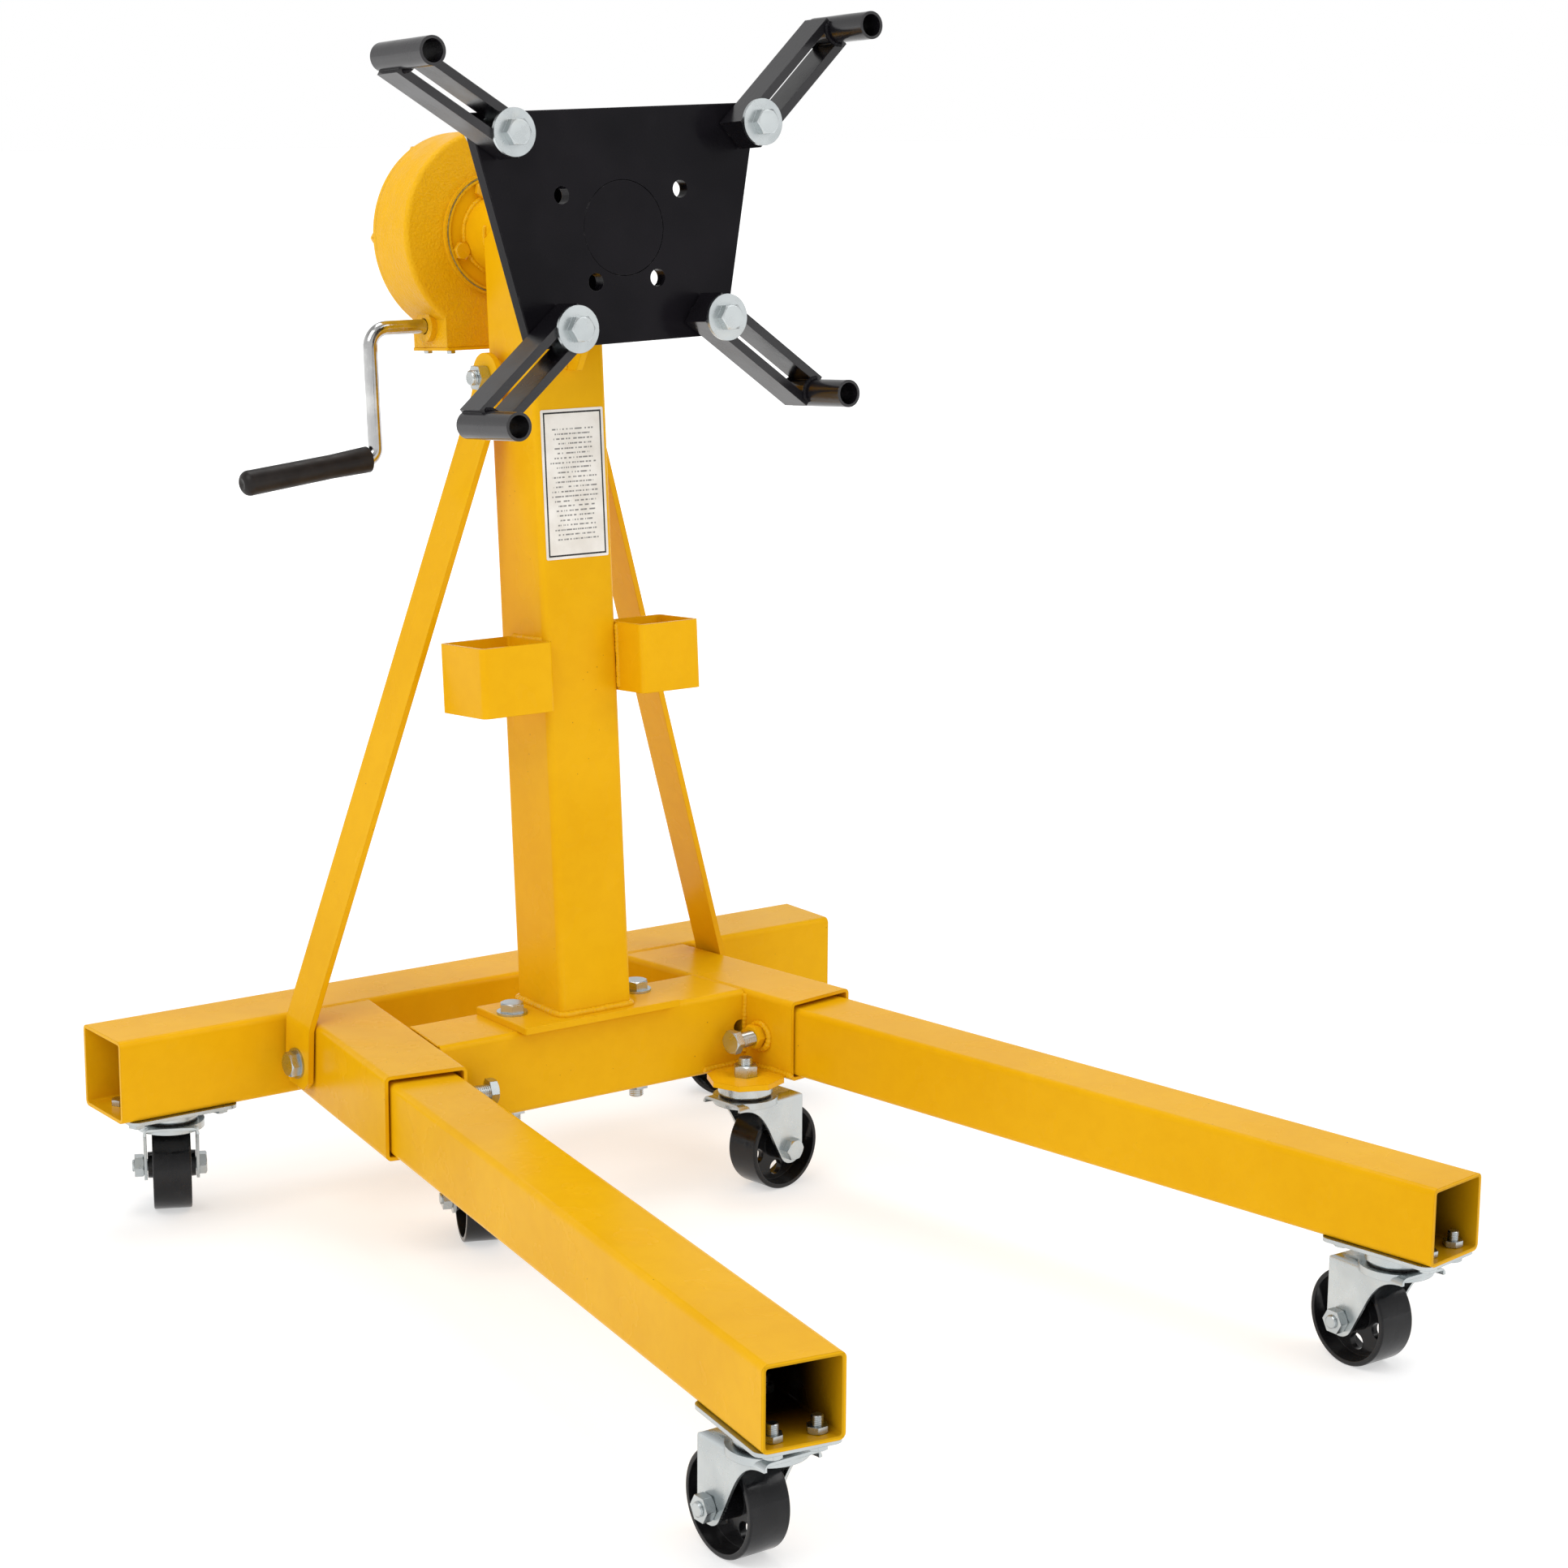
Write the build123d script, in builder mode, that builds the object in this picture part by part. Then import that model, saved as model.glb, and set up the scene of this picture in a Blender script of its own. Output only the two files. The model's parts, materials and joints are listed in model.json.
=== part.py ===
"""Geared rotating engine stand: an H-shaped wheeled base with two telescopic legs, a leaning mast,
a hand-cranked worm gearbox and a turning head plate with four slotted arms.

Units are millimetres, +Z is up and the floor is z = 0. The legs point to -Y and the crossbar runs along X.
"""
import os
from math import cos, degrees, pi, radians, sin, tan

from build123d import *

# ---------------------------------------------------------------- driving dimensions
CROSSBAR_Y = 378.1        # front face of the rear crossbar, set so that the box is centred on Y
CROSSBAR_LENGTH = 720.0
TUBE = 70.0               # crossbar, front beam, sleeves and mast are all 70 x 70 tube
WALL = 3.0
TUBE_CORNER = 5.0
TUBE_BOTTOM = 100.0       # height of the casters
TUBE_TOP = TUBE_BOTTOM + TUBE
TUBE_MID = TUBE_BOTTOM + TUBE / 2
WELD_SINK = 17.0          # a tube that is cut to a neighbour starts this far behind the cut
HOLE_GAP = 0.08           # radial clearance of a bolt in its hole
EDGE = 0.7                # small chamfers on plates and bar ends
PLATE_CORNER = 2.0        # rounded corners of the small rectangular plates

SPLAY = 8.9               # each leg turns outward by this angle
SLEEVE_X = 162.0          # sleeve centre line where it meets the crossbar
SLEEVE_LENGTH = 212.0
BEAM_BACK = 88.0          # distance of the front beam's back face from the crossbar
BEAM_FRONT = BEAM_BACK + TUBE
RELIEF_R = 6.0            # relief holes at the front beam's ends
RELIEF_EDGE = 1.0         # the relief holes break through the beam's corner by this much
LEG = 60.0                # the legs are 60 x 60 tube
LEG_DROP = 1.5            # leg centre line below the sleeve's
LEG_START = 12.0          # distances along the leg from the crossbar
LEG_END = 861.0
LEG_CASTER_AT = 811.0
CLAMP_AT = 172.0
CLAMP_DROP = 2.0
CLAMP_SCREW = 31.2        # length under the head
CLAMP_OUT = {-1: 33.0, 1: 26.5}   # head seat above the sleeve wall, left and right

LEAN = 4.0                # the mast leans back, and the head rises, by this angle
PLATE_T = 6.0             # mast foot plate
FOOT_PLATE = (154.0, 80.0)
FOOT_PLATE_SHIFT = -6.0   # foot plate centre in front of the mast's
MAST_Y = CROSSBAR_Y - 123.0
MAST_FOOT = TUBE_TOP + PLATE_T
MAST_TOP = 650.0          # heights along the mast from its foot plate
MAST_CHAMFER = (21.0, 14.0)   # cut-off corner at the mast's top and back
SPINDLE_AT = 643.0
MAST_BOLT_X = 62.0
MAST_BOLT_STUD = 18.0     # bolt ends below and beyond their nuts'
BRACE_BOLT_STUD = 15.0
ARM_BOLT_STUD = 15.0
LABEL = (60.0, 122.0, 0.6)
LABEL_CORNER = 1.5
LABEL_AT = 439.0
POCKET_HEIGHT = 57.0
# side, outer size, back face in front of the mast's centre line, lower edge along the mast
POCKETS = {"left_pocket": (-1, 68.0, -20.0, 256.0), "right_pocket": (1, 58.0, 14.0, 265.0)}

BRACE_WIDTH = 40.0
BRACE_T = 5.0
BRACE_END = 20.0          # strap beyond each bolt
BRACE_BENDS = (34.0, -16.0)   # bends, above the lower bolt and below the upper one
BRACE_BEND_R = 18.0
BRACE_CLIP = 8.0
BRACE_FOOT = (206.0, CROSSBAR_Y - 22.0, 133.0)   # lower bolt: inner face X, then Y and Z
BRACE_FOOT_GRIP = 8.0     # boss and sleeve wall under the lower bolt
BRACE_HEAD_X = 42.0       # inner face X at the upper bolt
BRACE_HEAD_N = -20.0      # upper bolt, in the mast's own axes
BRACE_HEAD_U = 527.0
BRACE_BOSS = 11.0         # half width of the hexagonal bosses behind the strap

# head, measured along the spindle axis (N) from the mast's centre line
PLATE_FRONT = 124.0
HEAD_PLATE_T = 11.0
HEAD_TURN = 1.6           # the head rests a little off level
PLATE_TOP = 93.0
PLATE_BASE = -89.6
PLATE_TOP_HALF = 135.3
PLATE_BASE_HALF = 91.7
PLATE_HOLE_R = 7.0
PLATE_HOLES = [(-55.7, 27.7), (55.7, 27.7), (-29.2, -40.7), (29.2, -40.7)]
SPINDLE_R = 25.0
SPINDLE_WALL = 8.0
SPINDLE_BACK = -117.0
SPINDLE_FLANGE_R = 37.5
HOUSING_R = 31.9
SPINDLE_FLANGE_BACK = 107.0
SPINDLE_GAP = 0.5         # between the housing's front and the spindle's thrust disc
THRUST_DISC = (54.0, 10.0)        # radius and thickness
RUNNING = 0.05            # radial clearance of a shaft in its bush
BUSH_WALL = 3.5
SPINDLE_BUSHES = (34.0, 26.0)     # lengths of the back and front bush
HOUSING_FRONT = 80.0
HOUSING_BACK = -76.0
HOUSING_FLANGE = (45.0, 8.0)   # radius and thickness
FLANGE_BOLT_RING = 38.6
FLANGE_BOLT_ANGLE = 20.0
GUSSET_T = 6.0
GUSSET = [(35.0, -25.0), (78.0, -25.0), (78.0, -70.0), (50.0, -112.0), (35.0, -112.0)]

ARM_BAR = 7.0
ARM_SLOT = 14.0
ARM_WIDTH = ARM_SLOT + 2 * ARM_BAR
ARM_BACK = 126.2          # arms lie between these two planes
ARM_FRONT = 155.8
ARM_REACH = 108.0         # bolt to finger
ARM_TAIL = 14.0           # arm beyond the bolt
ARM_BAR_END = 2.0         # the bars stop this far short of the finger's centre
SEAT = 0.1                # gap on each side of a part that slides or turns
WASHER_R = 18.5
WASHER_T = 3.0
SPACER_R = 13.0
FINGER_R = 11.0
FINGER_BORE = 8.75
FINGER_FRONT = 200.0
# name: bolt position on the plate and direction in degrees
ARMS = {
    "upper_left": ((-115.7, 76.2), 146.6),
    "upper_right": ((115.7, 76.2), 41.0),
    "lower_left": ((-70.3, -74.7), 218.3),
    "lower_right": ((70.3, -74.7), -38.1),
}

# gearbox, also measured along the spindle axis and up or down from it
GEAR_FRONT = -70.0
GEAR_BACK = -120.0
BACK_COVER_T = 6.0
BACK_COVER_EDGE = 1.5
BACK_COVER_BOSS = 3.0     # the boss stands out this far
DRUM_R = 86.0
DRUM_WALL = 9.0
DRUM_EDGE = 4.0           # rounded edge of the drum's front
RING_R = (45.3, 51.0)     # proud ring round the housing's flange
RING_PROUD = 4.0
RING_GROOVE = (47.6, 49.0, 0.8)   # inner and outer radius, depth
BOSS_R = 50.0             # boss inside the front wall
BOSS_DEPTH = 16.0
BLOCK_HALF = 52.0         # half width of the worm block below the drum
BLOCK_WALL = 14.0
BLOCK_TOP = -60.0
BLOCK_BASE = -92.0
BOTTOM_COVER_T = 2.5
BOTTOM_COVER_LIP = 0.5
BOTTOM_SCREWS = (45.0, 19.0)      # from the middle, along X and N
BACK_SCREW_ANGLES = (0.0, 60.0, 120.0, 180.0)
BACK_SCREW_LOW = (45.0, -80.0)
SCREW_DEPTH = 8.0         # screw length in the casting
SCREW_HOLE = 12.0
CRANK_BOSS = (13.0, 5.0)  # radius and length
WORM_DROP = 74.0          # spindle axis down to the worm axis
WORM_N = -98.0            # plane of the worm and of the wheel's middle
MODULE = 3.0
WHEEL_TEETH = 40
PRESSURE_ANGLE = 20.0
PITCH = pi * MODULE
WHEEL_R = MODULE * WHEEL_TEETH / 2
WORM_R = WORM_DROP - WHEEL_R
BACKLASH = 0.4
WHEEL_FACE = 18.0
WHEEL_TIP, WHEEL_ROOT = 2.8, 3.9       # tooth above and below the pitch circle
WORM_TIP, WORM_ROOT = 2.8, 3.6         # thread above and below the pitch cylinder
WHEEL_WEB = (5.0, 51.0)   # depth and outer radius of the recesses in the wheel's sides
HUB = (34.0, -116.0, -88.5)   # radius, back and front
WORM_TURNS = 4
THREAD_SINK = 0.6         # the thread starts this far inside its core
JOURNAL_R = 8.0
BUSH_R = 12.0
BUSH_LENGTH = 12.0
BUSH_INSET = 2.0
END_PLAY = 1.0

# crank
CRANK_R = 6.0
CRANK_BORE = 6.6
CRANK_X = 109.0           # plane of the crank arm
CRANK_ARM = 106.0
CRANK_BENDS = [16.0, 9.0]
GRIP_START, GRIP_END = 8.0, 125.0      # along the grip from the crank arm
GRIP_DROOP = 6.4
GRIP_R = 9.9
GRIP_TAPER = 0.5          # extra radius at the outer end
GRIP_DOME = (8.0, 1.6, 2.4)       # length of the rounded end; its middle, in from side and end
GRIP_DIMPLE = (5.0, 1.2)  # radius and depth
GRIP_SOCKET = 95.0        # the bar ends this far along the grip
COLLAR = (0.9, 3.0, 34.0)  # extra radius at the grip's inner end, its length and the end of its slope

# casters
WHEEL_RADIUS = 37.5
WHEEL_HALF = 16.0
HUB_HALF = 20.0
WHEEL_HUB_R = 11.0
WHEEL_RIM = 4.0
WHEEL_HOLES = (5, 6.5, 22.0)   # count, radius and ring of the holes in the wheel's disc
WHEEL_DISC = (3.0, 2.5)   # half thickness at the hub and at the rim
WHEEL_DRAFT = 1.0         # slope of the hub's and rim's sides
TREAD_EDGE = 1.5
TRAIL = 33.0
SHEET = 2.5
FORK_HALF = 23.0
FORK_BACK = 46.0
FORK_EYE = 13.0
FORK_EDGE = 6.0           # rounded bends along the fork's shoulders
FORK_SHOULDER = (38.0, 4.0)       # start of the sloped back corner, and its drop
FORK_HEEL = (21.0, 32.5)  # where the front edge of the fork's leg leaves the eye
FORK_NECK = (9.0, 55.0)   # where it bends forward into the crown
CROWN_TOP = 88.0
CROWN_BOTTOM = 82.0
CROWN_R = 28.0
CUP_R = 23.5
CUP_GAP = 1.5
CUP_EDGE = 2.0
RACE_R = 20.0
KINGPIN_R = 5.0
KINGPIN_HEAD = (9.0, 4.0)
KINGPIN_PLAY = 1.0        # between the kingpin's head and the crown
STEM_STUD = 6.0           # stem beyond its nut
AXLE_R = 5.0
CASTER_PLATE = (97.0, 63.0, 3.0)
CASTER_PLATE_CORNER = 8.0
CASTER_BOLTS = (75.0, 32.0)
REAR_STUD, LEG_STUD = 1.5, 7.0    # caster bolts beyond their nuts
AXLE_STUD = 2.0
REAR_CASTER = (303.5, CROSSBAR_Y + 29.0)
INNER_CASTER = (130.0, CROSSBAR_Y - 190.0)
CORNER_PLATE = (31.0, 5.0)     # half width and thickness
# direction in which each wheel trails, and the place of its first hole, in degrees
HEADINGS = {
    "rear_left": (64.8, 20.0),
    "rear_right": (127.0, 20.0),
    "inner_left": (68.0, 20.0),
    "inner_right": (8.0, 56.0),
    "front_left": (90.0, 20.0),
    "front_right": (90.0, 56.0),
}

# fasteners: radius of the shank, half width across flats, head thickness, nut thickness
M12 = (6.0, 9.5, 7.5, 10.0)
M12_WASHER = (13.0, 2.0)
M10 = (5.0, 8.5, 6.4, 8.0)
M8 = (4.0, 6.5, 5.3, 5.0)
M5 = (2.5, 4.0, 3.5, 4.0)
M4 = (2.0, 3.5, 2.6, 3.0)
HEX_CHAMFER = 0.8         # drop of a hexagon's corners, as a share of their reach past the flats

# ---------------------------------------------------------------- working planes
LEAN_SIN, LEAN_COS = sin(radians(LEAN)), cos(radians(LEAN))
SPLAY_SIN, SPLAY_COS = sin(radians(SPLAY)), cos(radians(SPLAY))
UP_MAST = Vector(0, LEAN_SIN, LEAN_COS)
TO_FRONT = Vector(0, -LEAN_COS, LEAN_SIN)
MAST_ORIGIN = Vector(0, MAST_Y, MAST_FOOT)
MAST = Plane(origin=MAST_ORIGIN, x_dir=(1, 0, 0), z_dir=UP_MAST)
SPINDLE = Plane(origin=MAST_ORIGIN + UP_MAST * SPINDLE_AT, x_dir=(1, 0, 0), z_dir=TO_FRONT)
WORM = Plane(
    origin=SPINDLE.from_local_coords((0, -WORM_DROP, WORM_N)), x_dir=UP_MAST, z_dir=(1, 0, 0)
)
SIDES = (("left", -1), ("right", 1))


def turned(plane, angle):
    """The same plane with its x and y directions turned about its own normal."""
    x_dir = plane.x_dir.rotate(Axis((0, 0, 0), plane.z_dir), angle)
    return Plane(origin=plane.origin, x_dir=x_dir, z_dir=plane.z_dir)


HEAD = turned(SPINDLE, HEAD_TURN)


def leg_plane(side, along=0.0):
    """Plane across a leg, with x to the right, y up and z out along the leg."""
    direction = Vector(side * SPLAY_SIN, -SPLAY_COS, 0)
    start = Vector(side * SLEEVE_X, CROSSBAR_Y, TUBE_MID)
    return Plane(origin=start + direction * along, x_dir=(SPLAY_COS, side * SPLAY_SIN, 0), z_dir=direction)


def leg_caster_centre(side):
    """Swivel axis of a leg's caster."""
    point = leg_plane(side, LEG_CASTER_AT).origin
    return point.X, point.Y


def side_plane(plane, across=0.0):
    """Plane along a caster's wheel, with x towards the wheel and y up, shifted along the axle."""
    return Plane(origin=plane.from_local_coords((0, across, 0)), x_dir=plane.x_dir, z_dir=-plane.y_dir)


def save(piece, name):
    """Labels a finished piece and writes it."""
    piece.label = name
    export_step(piece, f"parts/{name}.step")


# ---------------------------------------------------------------- shared shapes
def square_tube(plane, length, size, corner, wall=WALL):
    """Square tube from plane along its normal, centred on the plane's origin."""
    with BuildPart() as tube:
        with BuildSketch(plane):
            RectangleRounded(size, size, corner)
            RectangleRounded(size - 2 * wall, size - 2 * wall, corner - wall, mode=Mode.SUBTRACT)
        extrude(amount=length)
    return tube.part


def hexagon(plane, half_flats, thickness, bore=0.0):
    """Hexagonal head or nut standing on plane, with its outer corners chamfered."""
    corner_r = half_flats / cos(radians(30))
    drop = HEX_CHAMFER * (corner_r - half_flats)
    upright = Plane(origin=plane.origin, x_dir=plane.x_dir, z_dir=-plane.y_dir)
    with BuildPart() as piece:
        with BuildSketch(plane):
            RegularPolygon(radius=half_flats, side_count=6, major_radius=False)
            if bore:
                Circle(bore, mode=Mode.SUBTRACT)
        extrude(amount=thickness)
        with BuildSketch(upright):
            Polygon(
                (0, 0),
                (corner_r, 0),
                (corner_r, thickness - drop),
                (half_flats - drop / 2, thickness),
                (0, thickness),
                align=None,
            )
        revolve(axis=Axis(plane.origin, plane.z_dir), mode=Mode.INTERSECT)
    return piece.part


def cylinder_on(plane, radius, length, bore=0.0):
    """Round bar or ring standing on plane."""
    with BuildPart() as piece:
        with BuildSketch(plane):
            Circle(radius)
            if bore:
                Circle(bore, mode=Mode.SUBTRACT)
        extrude(amount=length)
    return piece.part


def bolt(plane, size, grip, stud=0.0, washer_r=0.0, washer_t=0.0, nut=False):
    """Bolt whose head stands over plane, as a list of solids: head and shank, washer, nut.

    The shank goes down through grip and then out by stud. A nut ends the grip.
    """
    radius, half_flats, head, nut_t = size
    under_head = plane.offset(washer_t)
    end = Axis(plane.origin, plane.z_dir)
    with BuildPart() as screw:
        add(hexagon(under_head, half_flats, head))
        with BuildSketch(under_head):
            Circle(radius)
        extrude(amount=-(washer_t + grip + stud))
        chamfer(screw.faces().sort_by(end)[0].edges(), radius / 8)
    solids = [screw.part]
    if washer_t:
        solids.append(cylinder_on(plane, washer_r, washer_t, radius))
    if nut:
        solids.append(hexagon(plane.offset(-grip - nut_t), half_flats, nut_t, radius))
    return solids


def group(solids):
    """Several separate solids as one piece."""
    return Compound(children=list(solids))


# ---------------------------------------------------------------- base frame
def make_crossbar():
    """Rear crossbar with the holes of its two casters."""
    end = Plane(
        origin=(-CROSSBAR_LENGTH / 2, CROSSBAR_Y + TUBE / 2, TUBE_MID), x_dir=(0, 1, 0), z_dir=(1, 0, 0)
    )
    with BuildPart() as crossbar:
        add(square_tube(end, CROSSBAR_LENGTH, TUBE, TUBE_CORNER))
        for _, side in SIDES:
            with BuildSketch(Plane(origin=(side * REAR_CASTER[0], REAR_CASTER[1], TUBE_BOTTOM))):
                with GridLocations(CASTER_BOLTS[0], CASTER_BOLTS[1], 2, 2):
                    Circle(M8[0] + HOLE_GAP)
            extrude(amount=TUBE / 2, mode=Mode.SUBTRACT)
    return crossbar.part


def brace_foot_plane(side, out=0.0):
    """Plane on the brace's inner face at its lower bolt, facing outward and moved out by out."""
    x, y, z = BRACE_FOOT
    return Plane(origin=(side * (x + out), y, z), x_dir=(0, 1, 0), z_dir=(side, 0, 0))


def make_sleeve(side):
    """Splayed sleeve cut flush to the crossbar, with its clamp hole and the boss of the brace bolt."""
    crossbar_front = Plane(origin=(0, CROSSBAR_Y, 0), x_dir=(1, 0, 0), z_dir=(0, -1, 0))
    with BuildPart() as sleeve:
        with BuildSketch(brace_foot_plane(side)):
            RegularPolygon(radius=BRACE_BOSS, side_count=6, major_radius=False)
        extrude(amount=-TUBE / 2)
        with BuildSketch(leg_plane(side)):
            Rectangle(TUBE - WALL, TUBE - WALL)
        extrude(amount=SLEEVE_LENGTH, both=True, mode=Mode.SUBTRACT)
        add(square_tube(leg_plane(side, -WELD_SINK), SLEEVE_LENGTH + WELD_SINK, TUBE, TUBE_CORNER))
        split(bisect_by=crossbar_front, keep=Keep.TOP)
        with BuildSketch(brace_foot_plane(side)):
            Circle(M12[0] + HOLE_GAP)
        extrude(amount=-TUBE / 4, mode=Mode.SUBTRACT)
        with BuildSketch(clamp_plane(side)):
            Circle(M12[0] + HOLE_GAP)
        extrude(amount=-TUBE / 4, mode=Mode.SUBTRACT)
    return sleeve.part


def make_leg(side):
    """Telescopic leg, resting low in its sleeve, with the bolt holes of its caster."""
    tube = leg_plane(side, LEG_START)
    low = Plane(origin=tube.origin - Vector(0, 0, LEG_DROP), x_dir=tube.x_dir, z_dir=tube.z_dir)
    x, y = leg_caster_centre(side)
    with BuildPart() as leg:
        add(square_tube(low, LEG_END - LEG_START, LEG, TUBE_CORNER))
        with BuildSketch(Plane(origin=(x, y, TUBE_BOTTOM), x_dir=tube.z_dir)):
            with GridLocations(CASTER_BOLTS[0], CASTER_BOLTS[1], 2, 2):
                Circle(M8[0] + HOLE_GAP)
        extrude(amount=LEG / 2, mode=Mode.SUBTRACT)
    return leg.part


def sleeve_inner_plane(side):
    """Plane of a sleeve's inner wall, facing the middle of the stand."""
    plane = leg_plane(side)
    inward = plane.x_dir * -side
    return Plane(origin=plane.origin + inward * (TUBE / 2), x_dir=plane.z_dir, z_dir=inward)


def beam_front_plane():
    """Front face of the front beam."""
    return Plane(origin=(0, CROSSBAR_Y - BEAM_FRONT, TUBE_MID), x_dir=(1, 0, 0), z_dir=(0, -1, 0))


def make_front_beam():
    """Beam between the sleeves that carries the mast, cut to their splay, with relief holes at its ends."""
    end = Plane(
        origin=(-SLEEVE_X, CROSSBAR_Y - BEAM_BACK - TUBE / 2, TUBE_MID), x_dir=(0, 1, 0), z_dir=(1, 0, 0)
    )
    front_corner_x = SLEEVE_X - TUBE / 2 / SPLAY_COS + BEAM_FRONT * tan(radians(SPLAY))
    relief_x = front_corner_x - RELIEF_R + RELIEF_EDGE
    with BuildPart() as beam:
        add(square_tube(end, 2 * SLEEVE_X, TUBE, TUBE_CORNER))
        for _, side in SIDES:
            split(bisect_by=sleeve_inner_plane(side), keep=Keep.TOP)
        with BuildSketch(Plane(origin=(0, MAST_Y, TUBE_TOP))):
            with Locations((-MAST_BOLT_X, 0), (MAST_BOLT_X, 0)):
                Circle(M12[0] + HOLE_GAP)
        extrude(amount=-TUBE, mode=Mode.SUBTRACT)
        with BuildSketch(beam_front_plane()):
            with Locations((-relief_x, WALL), (relief_x, WALL)):
                Circle(RELIEF_R)
        extrude(amount=-TUBE / 2, mode=Mode.SUBTRACT)
    return beam.part


def make_corner_plate(side):
    """Octagonal plate welded under the corner of beam and sleeve, for the stem of an inner caster."""
    half, thickness = CORNER_PLATE
    plane = Plane(origin=(side * INNER_CASTER[0], INNER_CASTER[1], TUBE_BOTTOM))
    with BuildPart() as plate:
        with BuildSketch(plane):
            RegularPolygon(radius=half, side_count=8, major_radius=False)
            Circle(M12[0] + HOLE_GAP, mode=Mode.SUBTRACT)
        extrude(amount=thickness)
        split(bisect_by=beam_front_plane(), keep=Keep.TOP)
        split(bisect_by=sleeve_inner_plane(side), keep=Keep.TOP)
    return plate.part


def clamp_plane(side, out=0.0):
    """Plane on a sleeve's inner wall at its clamp screw, facing the middle, moved out by out."""
    wall = sleeve_inner_plane(side)
    origin = wall.origin + wall.x_dir * CLAMP_AT + wall.z_dir * out - Vector(0, 0, CLAMP_DROP)
    return Plane(origin=origin, x_dir=wall.x_dir, z_dir=wall.z_dir)


def make_clamp_bolt(side):
    """Clamp screw of a leg. The right one reaches almost to the leg, the left one is backed out."""
    return bolt(clamp_plane(side, CLAMP_OUT[side]), M12, CLAMP_SCREW)[0]


def make_clamp_nuts():
    """Nuts of the clamp screws, welded to the sleeves' inner walls."""
    return group(hexagon(clamp_plane(side), M12[1], M12[3], M12[0] + HOLE_GAP) for _, side in SIDES)


def make_mast_plate():
    """Foot plate of the mast on the front beam."""
    with BuildPart() as plate:
        with BuildSketch(Plane(origin=(0, MAST_Y + FOOT_PLATE_SHIFT, TUBE_TOP))):
            RectangleRounded(FOOT_PLATE[0], FOOT_PLATE[1], PLATE_CORNER)
            with Locations((-MAST_BOLT_X, -FOOT_PLATE_SHIFT), (MAST_BOLT_X, -FOOT_PLATE_SHIFT)):
                Circle(M12[0] + HOLE_GAP, mode=Mode.SUBTRACT)
        extrude(amount=PLATE_T)
        chamfer(plate.faces().sort_by(Axis.Z)[-1].outer_wire().edges(), EDGE)
    return plate.part


def brace_bolt_plane(side, x):
    """Plane across the upper brace bolt at distance x from the middle, facing outward."""
    origin = MAST_ORIGIN + TO_FRONT * BRACE_HEAD_N + UP_MAST * BRACE_HEAD_U + Vector(side * x, 0, 0)
    return Plane(origin=origin, x_dir=(0, 1, 0), z_dir=(side, 0, 0))


def make_mast():
    """Leaning square mast, cut level at its foot and saddled for the spindle housing."""
    side_view = Plane(origin=SPINDLE.origin, x_dir=TO_FRONT, z_dir=(-1, 0, 0))
    top = MAST_TOP - SPINDLE_AT
    back = -TUBE / 2
    across, down = MAST_CHAMFER
    with BuildPart() as mast:
        for _, side in SIDES:
            with BuildSketch(brace_bolt_plane(side, TUBE / 2)):
                RegularPolygon(radius=BRACE_BOSS, side_count=6, major_radius=False)
            extrude(amount=BRACE_HEAD_X - TUBE / 2)
        add(square_tube(MAST.offset(-WELD_SINK), MAST_TOP + WELD_SINK, TUBE, TUBE_CORNER))
        split(bisect_by=Plane.XY.offset(MAST_FOOT), keep=Keep.TOP)
        with BuildSketch(SPINDLE.offset(-TUBE)):
            Circle(HOUSING_R)
        extrude(amount=2 * TUBE, mode=Mode.SUBTRACT)
        with BuildSketch(side_view):
            Polygon(
                (back - across, top + down),
                (back - across, top - 2 * down),
                (back + 2 * across, top + down),
                align=None,
            )
        extrude(amount=TUBE, both=True, mode=Mode.SUBTRACT)
        with BuildSketch(brace_bolt_plane(1, BRACE_HEAD_X)):
            Circle(M12[0] + HOLE_GAP)
        extrude(amount=-2 * BRACE_HEAD_X, mode=Mode.SUBTRACT)
    return mast.part


def make_pocket(side, size, back, base):
    """Open tool pocket, a short square tube against one side of the mast."""
    centre = Vector(side * (TUBE + size) / 2, 0, 0) + TO_FRONT * (back + size / 2)
    plane = Plane(origin=MAST_ORIGIN + centre + UP_MAST * base, x_dir=(1, 0, 0), z_dir=UP_MAST)
    return square_tube(plane, POCKET_HEIGHT, size, TUBE_CORNER)


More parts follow.
